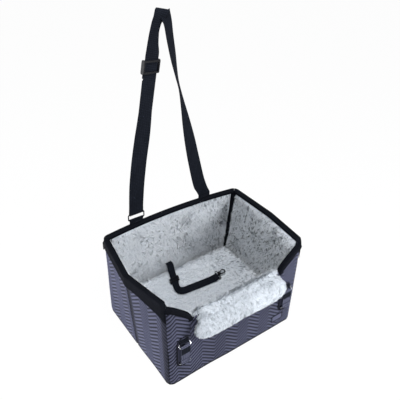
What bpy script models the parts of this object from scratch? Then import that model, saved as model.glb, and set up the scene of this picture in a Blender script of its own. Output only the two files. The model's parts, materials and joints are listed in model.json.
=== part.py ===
"""Dog car seat: a soft-sided box with a folding front flap, belt keepers, a long strap and a tether.

Metres, +Z up. The origin is on the floor under the middle of the box, the front faces -Y.
"""
import math

import bmesh
import bpy
import numpy as np
from mathutils import Matrix, Vector

# Driving sizes of the box, outside of the fabric
SEAT_WIDTH = 0.415
SEAT_DEPTH = 0.320
SEAT_HEIGHT = 0.275
SIDE_FLARE = 0.009  # how far each side leans out at the rim's back corners
FRONT_FLARE = 0.0055  # and at its front corners
DEPTH_TAPER = 0.013  # how far the front and back lean in at the rim's corners
SIDE_BULGE = 0.020  # how far a side's crease stands out of its corners at the rim
SIDE_DIP = 0.010  # how far the rim drops at the crease
BACK_BOW = 0.010  # how far the back rim bows backwards
BACK_RISE = 0.003
CORNER_RADIUS = 0.018
CORNER_DROP = 0.015  # how far the rim falls round each front corner

# Layers of a wall, from the outside in
LAYER_GAP = 0.0005
COVER_THICKNESS = 0.0024
BOARD_THICKNESS = 0.003
TURN_IN_THICKNESS = 0.001
LINER_THICKNESS = 0.008
BOARD_DEPTH = COVER_THICKNESS + LAYER_GAP
TURN_IN_DEPTH = BOARD_DEPTH + BOARD_THICKNESS + LAYER_GAP
LINER_DEPTH = TURN_IN_DEPTH + TURN_IN_THICKNESS + LAYER_GAP
WALL_THICKNESS = LINER_DEPTH + LINER_THICKNESS

# Base, from the floor up
BASE_COVER_THICKNESS = 0.0024
BASE_BOARD_THICKNESS = 0.003
COVER_LIFT = 0.0005  # the wall covers end just above the floor
BASE_TOP = BASE_COVER_THICKNESS + LAYER_GAP + BASE_BOARD_THICKNESS
PANEL_SEAT_GAP = 0.0008
FOAM_HEIGHT = 0.040
CUSHION_HEIGHT = 0.030
CUSHION_CROWN = 0.005
CUSHION_CLEARANCE = 0.0012
CUSHION_EDGE = 0.007
CUSHION_DRAW_IN = 0.003

# Scoop in the front wall
SCOOP_INSET = 0.0685  # from the box's side to the scoop's steep end
SCOOP_HALF_WIDTH = SEAT_WIDTH / 2 - SCOOP_INSET
SCOOP_FLOOR = 0.197
SCOOP_CURVE_SHARES = ((0, 0), (0.02, 0.14), (0.10, 0.26), (0.25, 0.41), (0.50, 0.62), (0.75, 0.82), (1, 1))

# Seams and bindings
FRONT_SEAM_SHARE = 0.5  # where a front corner's seam lies on its arc, from the front
SEAM_GAP = 0.0034
PIPING_RADIUS = 0.0013
PIPING_DEPTH = 0.0012
BINDING_THICKNESS = 0.0014
SIDE_BAND_DROP = 0.034
SIDE_BAND_FRONT_DROP = 0.050
BACK_BAND_DROP = 0.013
SCOOP_BAND_DROP = 0.010
TURN_IN_DROP = 0.009
END_GAP = 0.0006
CREASE_GAP = 0.004

# Zips in the back corners, as shares of the corner's arc
ZIP_HALF_SHARE = 0.10
GUSSET_HALF_SHARE = 0.13
WALL_END_SHARE = 0.16
LINER_WEDGE = 0.006
ZIP_THICKNESS = 0.0018
ZIP_END = 0.006
SLIDER_HEIGHT = 0.010
SLIDER_WIDTH = 0.0075
SLIDER_THICKNESS = 0.0035
SLIDER_TOP = 0.012
PULL_LENGTH = 0.024
PULL_WIDTH = 0.0055
PULL_THICKNESS = 0.0018
PULL_ROUND_SHARE = 0.3
KNUCKLE_RADIUS = 0.0013
KNUCKLE_WIDTH = 0.0030
PIN_RADIUS = 0.0006
PIN_PLACE_SHARE = 0.7  # the pin's place down the slider
PULL_PLAY = 0.0003
CHEEK_THICKNESS = 0.0012

# Front flap and the fold it turns on
FOLD_RISE = 0.0235
FOLD_OVERHANG = 0.004
FOLD_END_GAP = 0.0026
FOLD_SHARES = ((0.0, 0.0), (-0.05, 0.34), (0.0, 0.62), (0.16, 0.84), (0.36, 0.97), (0.55, 1.0), (0.74, 0.92),
               (0.90, 0.70), (0.99, 0.38), (1.0, 0.0))
FOLD_END_SHARES = ((0.0, 0.55), (0.02, 0.80), (0.06, 0.95), (0.12, 1.0), (0.5, 1.0), (0.88, 1.0), (0.94, 0.95),
                   (0.98, 0.80), (1.0, 0.55))
FLAP_HINGE_OUT = 0.006
FLAP_HINGE_RISE = 0.006
FLAP_TILT_DEG = 10.0
FLAP_LENGTH = 0.064
FLAP_BACK = 0.0045  # from the hinge line back to the flap's inner face
FLAP_THICKNESS = 0.0285
FLAP_ROOT_RADIUS = 0.0050
FLAP_INSET = 0.0545  # from the box's side to the flap's end
FLAP_HALF_WIDTH = SEAT_WIDTH / 2 - FLAP_INSET
FLAP_BACKING_THICKNESS = 0.0016
BACKING_SHARE = 0.985

# Down the flap: place along it, half width, and bulk
FLAP_SHARES = ((0.0, 0.880, 0.32), (0.10, 0.892, 0.50), (0.22, 0.922, 0.72), (0.35, 0.965, 0.88),
               (0.50, 0.992, 0.97), (0.65, 1.0, 1.0), (0.78, 0.978, 0.94), (0.88, 0.93, 0.80),
               (0.95, 0.865, 0.58), (1.0, 0.77, 0.26))
# Across half the flap, from its flat back to its crown: place across, and rise from back to crown
CROWN_PROFILE_SHARES = ((0.55, 0.005), (0.82, 0.035), (0.94, 0.12), (1.0, 0.29), (1.0, 0.475), (0.975, 0.675),
                        (0.92, 0.83), (0.80, 0.935), (0.55, 0.985), (0.28, 1.0))

# Belt keepers
KEEPER_INSET = 0.0415  # from the box's side to the keeper's middle
KEEPER_X = SEAT_WIDTH / 2 - KEEPER_INSET
KEEPER_BOTTOM = 0.057
KEEPER_HEIGHT = 0.099
KEEPER_WIDTH = 0.038
KEEPER_PATCH_THICKNESS = 0.0014
KEEPER_WEB_WIDTH = 0.025
KEEPER_RING_SPAN = 0.066
KEEPER_BAR_RADIUS = 0.0015
KEEPER_RING_HEIGHT = 0.009
KEEPER_STANDOFF = 0.011
KEEPER_TAB_LENGTH = 0.010
KEEPER_FOLD_SHARE = 0.42
TAB_BITE_SHARE = 0.3  # how far a tab is sunk into the patch that it is sewn to

# Label, left blank
LABEL_WIDTH = 0.041
LABEL_HEIGHT = 0.024
LABEL_THICKNESS = 0.0008
LABEL_X = 0.149
LABEL_Z = 0.036

# Webbing and strap
WEB_WIDTH = 0.040
WEB_THICKNESS = 0.0014
WEB_CLEARANCE = 0.0003
LOOP_STEPS = 10
TAB_X = -0.115
STRAP_END_X = 0.107
TAB_HEIGHT = 0.012  # from the rim to the lower bar of the ring
BAR_RADIUS = 0.0016
RING_HEIGHT = 0.018
RING_INSIDE = 0.043
STRAP_RISE = 0.508  # from the ring's upper bar to the top of the strap
STRAP_SPREAD = 0.222  # from the ring to the sewn end
STRAP_LEAN = 0.005
STRAP_FOLD_REACH = 0.015  # below its top, where the webbing's width comes square to its run
STRAP_START = 0.001
STRAP_END_GAP = 0.00175
SPREAD_RUN = 0.025
SLIDER_AT = 0.389
GLIDE_HEIGHT = 0.032
GLIDE_SIDE = 0.0036
GLIDE_BAR = 0.0045
GLIDE_THICKNESS = 0.0022
GLIDE_CORE = 0.0012
GLIDE_PLAY = 0.0008
GLIDE_ROUND_SHARE = 0.4
FOLD_TAIL = 0.026

# The strap's run: place across and height as shares, depth as a share of the lean,
# and its turn and tilt in degrees
STRAP_ROUTE_SHARES = (
    (0.00000, 0.0000, 0.0000, 0, 0), (0.00901, 0.0807, 0.0000, -4, 0), (0.02477, 0.1791, -0.1000, -7, 0),
    (0.06081, 0.3071, -0.2000, -6, 0), (0.10135, 0.4154, -0.3000, -4, 0), (0.12477, 0.4783, -0.3450, 2, 0),
    (0.14440, 0.5374, -0.3696, 9, 0), (0.15513, 0.5689, -0.3800, 11, 0), (0.16855, 0.6083, -0.3930, 11, 0),
    (0.18330, 0.6516, -0.4073, 11, 0), (0.20007, 0.7008, -0.4235, 11, 0), (0.21684, 0.7500, -0.4398, 11, 0),
    (0.23160, 0.7933, -0.4541, 11, 0), (0.24166, 0.8228, -0.4638, 11, 0), (0.24685, 0.8602, -0.5200, 20, 0),
    (0.26351, 0.9114, -0.5600, 26, 0), (0.29054, 0.9508, -0.6000, 24, 0), (0.31982, 0.9744, -0.6200, 18, 8),
    (0.34685, 0.9902, -0.4500, 12, 14), (0.37387, 1.0000, 0.2000, 10, 15), (0.40090, 0.9902, 0.8500, 18, 10),
    (0.42793, 0.9705, 1.0200, 27, 0), (0.45270, 0.9370, 1.0000, 33, 0), (0.47748, 0.8740, 0.9500, 36, 0),
    (0.51802, 0.7854, 0.8500, 41, 0), (0.55856, 0.7028, 0.7600, 51, 0), (0.59459, 0.6358, 0.7000, 56, 0),
    (0.64189, 0.5433, 0.6000, 46, 0), (0.69369, 0.4449, 0.5000, 31, 0), (0.75676, 0.3268, 0.4000, 16, 0),
    (0.81982, 0.2087, 0.3000, 8, 0), (0.91441, 0.0492, 0.1200, 2, 0), (1.00000, -0.0335, 0.0000, 0, 0),
)

# Tether in the cabin
TETHER_WEB = 0.020
TETHER_BAR_RADIUS = 0.0013
TETHER_X = -0.018
TETHER_INSET = 0.026  # from the box's back to where the tether leaves its anchor
TETHER_Y = SEAT_DEPTH / 2 - TETHER_INSET
TETHER_CLEARANCE = 0.0106  # above the crown of the cushion
CUSHION_TOP = BASE_TOP + 2 * LAYER_GAP + FOAM_HEIGHT + CUSHION_HEIGHT + CUSHION_CROWN
TETHER_HEIGHT = CUSHION_TOP + TETHER_CLEARANCE
TETHER_ACROSS = 0.085
TETHER_FORWARD = 0.118
TETHER_TAIL = 0.012
TETHER_GLIDE_HEIGHT = 0.018
TETHER_GLIDE_SIDE = 0.003
TETHER_GLIDE_BAR = 0.003
TETHER_GLIDE_THICKNESS = 0.0016
TETHER_CORE = 0.0010
TETHER_SLIDER_STATION = 7

# The tether's run: place across and forward as shares, and its bank in degrees
TETHER_ROUTE_SHARES = (
    (0.0000, 0.0000, 0), (-0.0824, 0.1356, -15), (-0.1647, 0.2797, -27), (-0.2447, 0.4322, -30),
    (-0.3247, 0.5847, -30), (-0.3871, 0.7034, -38), (-0.4235, 0.8051, -46), (-0.4000, 0.8898, -52),
    (-0.2824, 0.9407, -52), (-0.0235, 0.9576, -52), (0.3059, 0.9788, -52), (0.6235, 0.9958, -50),
    (0.8824, 1.0000, -44), (1.0000, 0.9831, -38),
)

# Snap hook on its swivel
SWIVEL_RING = 0.008
SWIVEL_RADIUS = 0.0034
SWIVEL_LENGTH = 0.0052
STEM_RADIUS = 0.0014
HEAD_SHARE = 1.8
COLLAR_LENGTH = 0.0036
HOOK_FALL_SHARE = 0.10
HOOK_WIRE = 0.0018
HOOK_EYE_RADIUS = 0.0062
HOOK_THROAT = 0.0075
HOOK_TIP_DEG = 128.0
HOOK_SIDE_DEG = 90.0
HOOK_STEPS = 10
HOOK_NECK_SHARES = ((0.25, 0.55), (0.6, 0.95))
GUIDE_SHARE = 0.75
BOLT_RADIUS = 0.0011
TIP_SLANT_SHARE = 1.0
KNOB_SHARE = 1.2
KNOB_HEIGHT = 0.0045

SMOOTH_DEG = 35.0
SOFT_SMOOTH_DEG = 60.0
SIDES = (("left", -1), ("right", 1))
MERGE_SHARE = 0.02
LIP_SHARE = 0.5
EDGE_SHARE = 0.35
SIDE_LEVEL_SHARES = (0.25, 0.5, 0.75)
CROWN_SHARES = (1.0, 0.8, 0.55, 0.3, 0.1)
RING_ARC_SHARES = np.array([0.0, 0.5, 1.0])
FRONT_ARC_SHARES = np.linspace(FRONT_SEAM_SHARE, 1, 4)
FRONT_TURN_SHARES = np.linspace(0, FRONT_SEAM_SHARE, 4)
BACK_ARC_SHARES = np.array([0.0, 0.25, 0.5 - WALL_END_SHARE])
STRAIGHT_SHARES = np.array([0.25, 0.5, 0.75])
PANEL_ROWS = 6
BACK_STEPS = 7
STADIUM_STEPS = 8

SEAT = bpy.data.collections.new("dog_car_seat")
CUTTERS = bpy.data.collections.new("cutters")


def start_clean():
    for old in list(bpy.data.objects):
        bpy.data.objects.remove(old, do_unlink=True)
    bpy.context.scene.collection.children.link(SEAT)
    bpy.context.scene.collection.children.link(CUTTERS)


def material(name, colour, roughness, metallic=0.0):
    made = bpy.data.materials.new(name)
    made.use_nodes = True
    shader = made.node_tree.nodes["Principled BSDF"]
    shader.inputs["Base Color"].default_value = (*colour, 1.0)
    shader.inputs["Roughness"].default_value = roughness
    shader.inputs["Metallic"].default_value = metallic
    return made


def unit(vector):
    return vector / np.linalg.norm(vector)


def lerp(a, b, share):
    return a + (b - a) * share


def keep(mesh, name, finish, smooth_deg=SMOOTH_DEG):
    """Puts a mesh into the seat as one object, with its faces turned outwards."""
    shape = bmesh.new()
    shape.from_mesh(mesh)
    bmesh.ops.recalc_face_normals(shape, faces=shape.faces[:])
    shape.to_mesh(mesh)
    shape.free()
    mesh.shade_smooth()
    mesh.set_sharp_from_angle(angle=math.radians(smooth_deg))
    mesh.materials.clear()
    mesh.materials.append(finish)
    piece = bpy.data.objects.new(name, mesh)
    SEAT.objects.link(piece)
    return piece


def mesh_of(verts, faces, name="shape"):
    mesh = bpy.data.meshes.new(name)
    mesh.from_pydata([tuple(map(float, v)) for v in verts], [], faces)
    return mesh


def loft(sections, closed_path=False, caps=True):
    """A closed body through equal sections, each a ring of points, with flat ends unless the path closes."""
    sections = np.asarray(sections, float)
    count, around = sections.shape[:2]
    faces = []
    for i in range(count if closed_path else count - 1):
        a = i * around
        b = (i + 1) % count * around
        for j in range(around):
            k = (j + 1) % around
            faces.append((a + j, a + k, b + k))
            faces.append((a + j, b + k, b + j))
    if caps and not closed_path:
        faces.append(tuple(range(around)))
        faces.append(tuple((count - 1) * around + j for j in range(around)))
    return mesh_of(sections.reshape(-1, 3), faces)


def slab(outer, inner):
    """A panel between its outer and inner faces, two equal grids of points split along the same diagonals."""
    rows, cols = outer.shape[:2]
    count = rows * cols

    def at(i, j, layer):
        return layer * count + i * cols + j

    faces = []
    for layer in (0, 1):
        for i in range(rows - 1):
            for j in range(cols - 1):
                low, right = at(i, j, layer), at(i, j + 1, layer)
                high, over = at(i + 1, j, layer), at(i + 1, j + 1, layer)
                faces.append((low, right, over) if layer == 0 else (low, over, right))
                faces.append((low, over, high) if layer == 0 else (low, high, over))
    rim = [(0, j) for j in range(cols)] + [(i, cols - 1) for i in range(1, rows)]
    rim += [(rows - 1, j) for j in range(cols - 2, -1, -1)] + [(i, 0) for i in range(rows - 2, 0, -1)]
    for (i, j), (k, m) in zip(rim, rim[1:] + rim[:1]):
        faces.append((at(i, j, 0), at(i, j, 1), at(k, m, 1), at(k, m, 0)))
    return mesh_of(np.concatenate([outer.reshape(-1, 3), inner.reshape(-1, 3)]), faces)


def flat_outline(points, holes, thickness, placed):
    """A flat plate from an outline and its holes, middle plane at z 0, put where the matrix says."""
    curve = bpy.data.curves.new("outline", "CURVE")
    curve.dimensions = "2D"
    curve.fill_mode = "BOTH"
    curve.extrude = thickness / 2
    for ring in (points, *holes):
        spline = curve.splines.new("POLY")
        spline.points.add(len(ring) - 1)
        for point, (x, y) in zip(spline.points, ring):
            point.co = (x, y, 0.0, 1.0)
        spline.use_cyclic_u = True
    guide = bpy.data.objects.new("outline", curve)
    CUTTERS.objects.link(guide)
    bpy.context.view_layer.update()
    mesh = bpy.data.meshes.new_from_object(guide.evaluated_get(bpy.context.evaluated_depsgraph_get()))
    bpy.data.objects.remove(guide)
    shape = bmesh.new()
    shape.from_mesh(mesh)
    bmesh.ops.remove_doubles(shape, verts=shape.verts[:], dist=thickness * MERGE_SHARE)
    shape.to_mesh(mesh)
    shape.free()
    mesh.transform(placed)
    return mesh


def tube(path, radius, closed=False, resolution=2):
    """A wire along a path, as a curve with a round bevel, made a mesh with its caps welded."""
    curve = bpy.data.curves.new("wire", "CURVE")
    curve.dimensions = "3D"
    curve.bevel_depth = radius
    curve.bevel_resolution = resolution
    curve.use_fill_caps = True
    spline = curve.splines.new("POLY")
    spline.points.add(len(path) - 1)
    for point, place in zip(spline.points, path):
        point.co = (*map(float, place), 1.0)
    spline.use_cyclic_u = closed
    guide = bpy.data.objects.new("wire", curve)
    CUTTERS.objects.link(guide)
    bpy.context.view_layer.update()
    mesh = bpy.data.meshes.new_from_object(guide.evaluated_get(bpy.context.evaluated_depsgraph_get()))
    bpy.data.objects.remove(guide)
    shape = bmesh.new()
    shape.from_mesh(mesh)
    bmesh.ops.remove_doubles(shape, verts=shape.verts[:], dist=radius * MERGE_SHARE)
    shape.to_mesh(mesh)
    shape.free()
    return mesh


def joined(name, finish, meshes):
    """One body from several overlapping closed meshes, by exact Boolean unions."""
    body = keep(meshes[0], name, finish)
    for index, mesh in enumerate(meshes[1:]):
        tool = keep(mesh, f"{name}_add_{index}", finish)
        SEAT.objects.unlink(tool)
        CUTTERS.objects.link(tool)
        tool.hide_render = True
        tool.display_type = "WIRE"
        union = body.modifiers.new(f"add_{index}", "BOOLEAN")
        union.operation = "UNION"
        union.object = tool
    return body


def box(size, centre, placed=None):
    shape = bmesh.new()
    bmesh.ops.create_cube(shape, size=1.0, matrix=Matrix.Translation(centre) @ Matrix.Diagonal((*size, 1.0)))
    mesh = bpy.data.meshes.new("box")
    shape.to_mesh(mesh)
    shape.free()
    if placed is not None:
        mesh.transform(placed)
    return mesh


def frame_at(origin, x_axis, y_axis):
    """The matrix of a frame with the given origin, x axis and rough y axis."""
    x = unit(np.asarray(x_axis, float))
    z = unit(np.cross(x, np.asarray(y_axis, float)))
    y = np.cross(z, x)
    return Matrix((
        (x[0], y[0], z[0], origin[0]),
        (x[1], y[1], z[1], origin[1]),
        (x[2], y[2], z[2], origin[2]),
        (0.0, 0.0, 0.0, 1.0),
    ))


# The plan of the box at a height, given as a share of the rim's height

def plan_corner(side_x, side_y, rise_share):
    flare = SIDE_FLARE if side_y > 0 else FRONT_FLARE
    return np.array([
        side_x * (SEAT_WIDTH / 2 + flare * rise_share),
        side_y * (SEAT_DEPTH / 2 - DEPTH_TAPER * rise_share),
    ])


def plan_crease(rise_share):
    return np.array([SEAT_WIDTH / 2 + (SIDE_FLARE + SIDE_BULGE) * rise_share, 0.0])


def corner_arc(before, corner, after, shares):
    """Points and outward normals on a rounded corner; share 0 is on the side before it, 1 after it."""
    to_before = unit(before - corner)
    to_after = unit(after - corner)
    half_angle = math.acos(float(np.clip(to_before @ to_after, -1.0, 1.0))) / 2
    start = corner + to_before * CORNER_RADIUS / math.tan(half_angle)
    centre = corner + unit(to_before + to_after) * CORNER_RADIUS / math.sin(half_angle)
    first = math.atan2(*(start - centre)[::-1])
    angles = first + (math.pi - 2 * half_angle) * np.asarray(shares, float)
    normals = np.stack([np.cos(angles), np.sin(angles)], axis=1)
    return centre + CORNER_RADIUS * normals, normals


def front_arc(rise_share, shares):
    """The right front corner, from the front wall to the right wall."""
    return corner_arc(plan_corner(-1, -1, rise_share), plan_corner(1, -1, rise_share),
                      plan_crease(rise_share), shares)


def back_arc(rise_share, shares):
    """The right back corner, from the right wall to the back wall."""
    return corner_arc(plan_crease(rise_share), plan_corner(1, 1, rise_share),
                      plan_corner(-1, 1, rise_share), shares)


def side_line(rise_share, front_shares, back_shares, straight_shares):
    """Right side wall, front corner to back corner: points, outward normals, with a mitre at the crease."""
    front_points, front_normals = front_arc(rise_share, front_shares)
    back_points, back_normals = back_arc(rise_share, back_shares)
    crease = plan_crease(rise_share)
    front_end, front_normal = (found[0] for found in front_arc(rise_share, [1.0]))
    back_start, back_normal = (found[0] for found in back_arc(rise_share, [0.0]))
    mitre = unit(front_normal + back_normal)
    mitre = mitre / (mitre @ front_normal)
    points = [*front_points]
    normals = [*front_normals]
    for share in straight_shares:
        points.append(lerp(front_end, crease, share))
        normals.append(front_normal)
    points.append(crease)
    normals.append(mitre)
    for share in straight_shares[::-1]:
        points.append(lerp(back_start, crease, share))
        normals.append(back_normal)
    return np.array([*points, *back_points]), np.array([*normals, *back_normals])


def back_line(rise_share, arc_shares, straight_count):
    """Back wall from the right corner to the left one, bowed outwards towards the rim."""
    arc_points, arc_normals = back_arc(rise_share, arc_shares)
    end = back_arc(rise_share, [1.0])[0][0]
    across = np.linspace(1, -1, straight_count + 2)[1:-1]
    bow = BACK_BOW * rise_share
    points = np.stack([end[0] * across, end[1] + bow * (1 - across**2)], axis=1)
    slopes = np.stack([2 * bow * across / end[0], np.ones_like(across)], axis=1)
    normals = slopes / np.linalg.norm(slopes, axis=1, keepdims=True)
    flip = np.array([-1.0, 1.0])
    return (np.concatenate([arc_points, points, arc_points[::-1] * flip]),
            np.concatenate([arc_normals, normals, arc_normals[::-1] * flip]))


def front_line(rise_share, across_shares):
    """Front wall, round half of each front corner, with the given shares of its flat's half width."""
    arc_points, arc_normals = front_arc(rise_share, FRONT_TURN_SHARES)
    end = arc_points[0]
    points = np.array([[end[0] * share, end[1]] for share in across_shares])
    normals = np.tile([0.0, -1.0], (len(points), 1))
    flip = np.array([-1.0, 1.0])
    return (np.concatenate([arc_points[:0:-1] * flip, points, arc_points[1:]]),
            np.concatenate([arc_normals[:0:-1] * flip, normals, arc_normals[1:]]))


def wall(line_of, rim_heights):
    """A wall between its plan at the floor and its plan at the rim."""
    low_points, low_normals = line_of(0.0)
    high_points, high_normals = line_of(1.0)
    return {
        "points": (low_points, high_points),
        "normals": (low_normals, high_normals),
        "rim": np.asarray(rim_heights, float),
    }


def wall_point(walls, heights, depth):
    """Points of a wall at a height for each station and a depth inwards from its outer face."""
    share = (np.asarray(heights, float) / SEAT_HEIGHT)[:, None]
    points = lerp(walls["points"][0], walls["points"][1], share)
    normals = lerp(walls["normals"][0], walls["normals"][1], share)
    flat = points - normals * depth
    return np.column_stack([flat, heights])


def mirrored(shape, side):
    return shape * np.array([side, 1.0, 1.0])


def panel(name, walls, depth, thickness, bottom, drop, finish, side=1, rows=PANEL_ROWS, cut=slice(None)):
    """One layer of a wall, from a height above the floor to a drop below the rim."""
    rim = walls["rim"]
    heights = [np.full_like(rim, bottom), *(rim * row / rows for row in range(1, rows)), rim - drop]
    outer = np.array([wall_point(walls, level, depth)[cut] for level in heights])
    inner = np.array([wall_point(walls, level, depth + thickness)[cut] for level in heights])
    return keep(slab(mirrored(outer, side), mirrored(inner, side)), name, finish)


def corner_rim(y):
    """Rim height at a depth on a front corner."""
    front, side = (front_arc(1.0, [share])[0][0][1] for share in (0.0, 1.0))
    return SEAT_HEIGHT - CORNER_DROP * (side - y) / (side - front)


def side_rims(line):
    """Rim heights along a side wall's stations: down round the front corner, and a dip at the crease."""
    points = line(1.0)[0]
    side_y = front_arc(1.0, [1.0])[0][0][1]
    rims = []
    for y in points[:, 1]:
        if y < side_y:
            rims.append(corner_rim(y))
        else:
            rims.append(SEAT_HEIGHT - SIDE_DIP * (1 - abs(y) / abs(side_y)) * (abs(y) < abs(side_y)))
    return rims


def back_rims(line):
    points = line(1.0)[0]
    reach = back_arc(1.0, [1.0])[0][0][0]
    return SEAT_HEIGHT + BACK_RISE * np.clip(1 - (points[:, 0] / reach) ** 2, 0, None)


def front_y(height):
    """Depth of the front wall's outer face at a height."""
    return front_arc(height / SEAT_HEIGHT, [0.0])[0][0][1]


def front_end(height):
    """Half width of the flat of the front wall at a height."""
    return front_arc(height / SEAT_HEIGHT, [0.0])[0][0][0]


def scoop_places():
    """Half of the scoop's edge: place across as a share of the front wall's half width there, and height."""
    crest = SEAT_HEIGHT - CORNER_DROP
    made = []
    for out, rise in SCOOP_CURVE_SHARES:
        height = lerp(SCOOP_FLOOR, crest, rise)
        across = lerp(SCOOP_HALF_WIDTH, front_end(crest), out)
        made.append((across / front_end(height), height))
    return made


def front_wall():
    edge = scoop_places()
    floor_shares = [-edge[0][0], 0.0, edge[0][0]]
    shares = [-s for s, _ in edge[:0:-1]] + floor_shares + [s for s, _ in edge[1:]]
    tops = [z for _, z in edge[:0:-1]] + [SCOOP_FLOOR] * len(floor_shares) + [z for _, z in edge[1:]]
    turns = [corner_rim(y) for y in front_arc(1.0, FRONT_TURN_SHARES[1:])[0][:, 1]]
    return wall(lambda share: front_line(share, shares), turns[::-1] + tops + turns)


def side_wall():
    def line(share):
        return side_line(share, FRONT_ARC_SHARES, BACK_ARC_SHARES, STRAIGHT_SHARES)
    return wall(line, side_rims(line))


def back_wall():
    def line(share):
        return back_line(share, 1 - BACK_ARC_SHARES[::-1], BACK_STEPS)
    return wall(line, back_rims(line))


def liner_line_for_side(share):
    """The side liner stops short of the back corner, more so at the rim, so a dark wedge shows."""
    points, normals = side_line(share, FRONT_ARC_SHARES[1:], BACK_ARC_SHARES[:1], STRAIGHT_SHARES)
    along = unit(points[-1] - points[-2])
    points[-1] = points[-1] - along * LINER_WEDGE * share
    return points, normals


def liner_line_for_back(share):
    points, normals = back_line(share, np.array([1.0]), BACK_STEPS)
    points[0] = points[0] - np.array([LINER_WEDGE * share, 0.0])
    points[-1] = points[-1] + np.array([LINER_WEDGE * share, 0.0])
    return points, normals


def build_walls(finish):
    front = front_wall()
    side = side_wall()
    back = back_wall()
    gap = SEAM_GAP / 2
    front_cut = trimmed_front(front, gap)
    base = BASE_TOP + PANEL_SEAT_GAP
    panel("front_cover", front_cut, 0.0, COVER_THICKNESS, COVER_LIFT, 0.0, finish["cover"])
    panel("front_board", front_cut, BOARD_DEPTH, BOARD_THICKNESS, base, LAYER_GAP, finish["board"])
    panel("front_liner", front_cut, LINER_DEPTH, LINER_THICKNESS, base, LAYER_GAP, finish["fur"])
    panel("back_cover", back, 0.0, COVER_THICKNESS, COVER_LIFT, 0.0, finish["cover"])
    straight = slice(len(BACK_ARC_SHARES) - 1, 1 - len(BACK_ARC_SHARES))
    panel("back_board", back, BOARD_DEPTH, BOARD_THICKNESS, base, LAYER_GAP, finish["board"], cut=straight)
    back_liner = wall(liner_line_for_back, back_rims(liner_line_for_back))
    panel("back_liner", back_liner, LINER_DEPTH, LINER_THICKNESS, base, LAYER_GAP, finish["fur"])
    arc = len(FRONT_ARC_SHARES)
    middle = arc + len(STRAIGHT_SHARES)
    side_liner = wall(liner_line_for_side, side_rims(liner_line_for_side))
    for label, sign in (("left", -1), ("right", 1)):
        covered = trimmed_side(side, gap)
        panel(f"{label}_cover", covered, 0.0, COVER_THICKNESS, COVER_LIFT, 0.0, finish["cover"], side=sign)
        panel(f"{label}_front_board", pulled_in(side, middle, -CREASE_GAP / 2), BOARD_DEPTH, BOARD_THICKNESS,
              base, LAYER_GAP, finish["board"], side=sign, cut=slice(arc - 1, middle + 1))
        panel(f"{label}_rear_board", pulled_in(side, middle, CREASE_GAP / 2), BOARD_DEPTH, BOARD_THICKNESS,
              base, LAYER_GAP, finish["board"], side=sign, cut=slice(middle, middle + len(STRAIGHT_SHARES) + 2))
        panel(f"{label}_liner", side_liner, LINER_DEPTH, LINER_THICKNESS, base, LAYER_GAP, finish["fur"],
              side=sign)
    return front, side, back


def trimmed_front(walls, gap):
    """The front wall with its two ends pulled in by the seam's half gap."""
    points = tuple(p.copy() for p in walls["points"])
    made = {"points": points, "normals": walls["normals"], "rim": walls["rim"]}
    for points in made["points"]:
        points[0] = points[0] + unit(points[1] - points[0]) * gap
        points[-1] = points[-1] + unit(points[-2] - points[-1]) * gap
    return made


def trimmed_side(walls, gap):
    """The side wall with its front end pulled round its corner by the seam's half gap."""
    points = tuple(p.copy() for p in walls["points"])
    made = {"points": points, "normals": walls["normals"], "rim": walls["rim"]}
    for points in made["points"]:
        points[0] = points[0] + unit(points[1] - points[0]) * gap
    return made


def pulled_in(walls, index, shift):
    """The wall with its crease station moved along the wall, so that a board ends short of the crease."""
    made = {
        "points": tuple(p.copy() for p in walls["points"]),
        "normals": tuple(n.copy() for n in walls["normals"]),
        "rim": walls["rim"],
    }
    step = -1 if shift < 0 else 1
    for points, normals in zip(made["points"], made["normals"]):
        along = unit(points[index + step] - points[index])
        points[index] = points[index] + along * abs(shift)
        normals[index] = normals[index + step]
    return made


def ring_at(rise_share, depth):
    """The whole plan of the box at a height, moved inwards by a depth: a closed ring of points."""
    line = side_line(rise_share, RING_ARC_SHARES, RING_ARC_SHARES, STRAIGHT_SHARES)
    back = back_line(rise_share, RING_ARC_SHARES, 3)
    right = line[0] - line[1] * depth
    rear = back[0] - back[1] * depth
    left = right[::-1] * np.array([-1.0, 1.0])
    arc = len(RING_ARC_SHARES)
    return np.concatenate([right, rear[arc:-arc], left])


def level_ring(height, depth):
    flat = ring_at(height / SEAT_HEIGHT, depth)
    return np.column_stack([flat, np.full(len(flat), height)])


def plate(name, bottom, thickness, depth, finish):
    """A flat plate that follows the plan of the box."""
    return keep(loft([level_ring(bottom, depth), level_ring(bottom + thickness, depth)]), name, finish)


def shrunk(ring, share, height):
    """A ring drawn towards its middle and put at a height."""
    made = lerp(ring.mean(axis=0), ring, share)
    made[:, 2] = height
    return made


def drawn_in(ring, inset):
    """A ring with each of its sides moved inwards, its corners kept."""
    reach = np.array([ring[:, 0].max(), ring[:, 1].max(), 1.0])
    return ring * (1 - np.array([inset, inset, 0.0]) / reach)


def crowned_block(name, bottom, depth, finish):
    """A cushion: rounded edges, sides drawn in at mid height, and a crowned top."""
    top = bottom + CUSHION_HEIGHT
    edge = CUSHION_EDGE * EDGE_SHARE
    sections = [drawn_in(level_ring(bottom, depth), edge)]
    for share in SIDE_LEVEL_SHARES:
        pinch = CUSHION_DRAW_IN * (1 - abs(2 * share - 1))
        sections.append(drawn_in(level_ring(bottom + CUSHION_HEIGHT * share, depth), pinch))
    sections.append(shrunk(drawn_in(level_ring(top, depth), edge), 1.0, top - edge))
    outline = drawn_in(level_ring(top, depth), CUSHION_EDGE)
    for share in CROWN_SHARES:
        sections.append(shrunk(outline, share, top + CUSHION_CROWN * (1 - share**2)))
    return keep(loft(sections), name, finish, smooth_deg=SOFT_SMOOTH_DEG)


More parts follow.
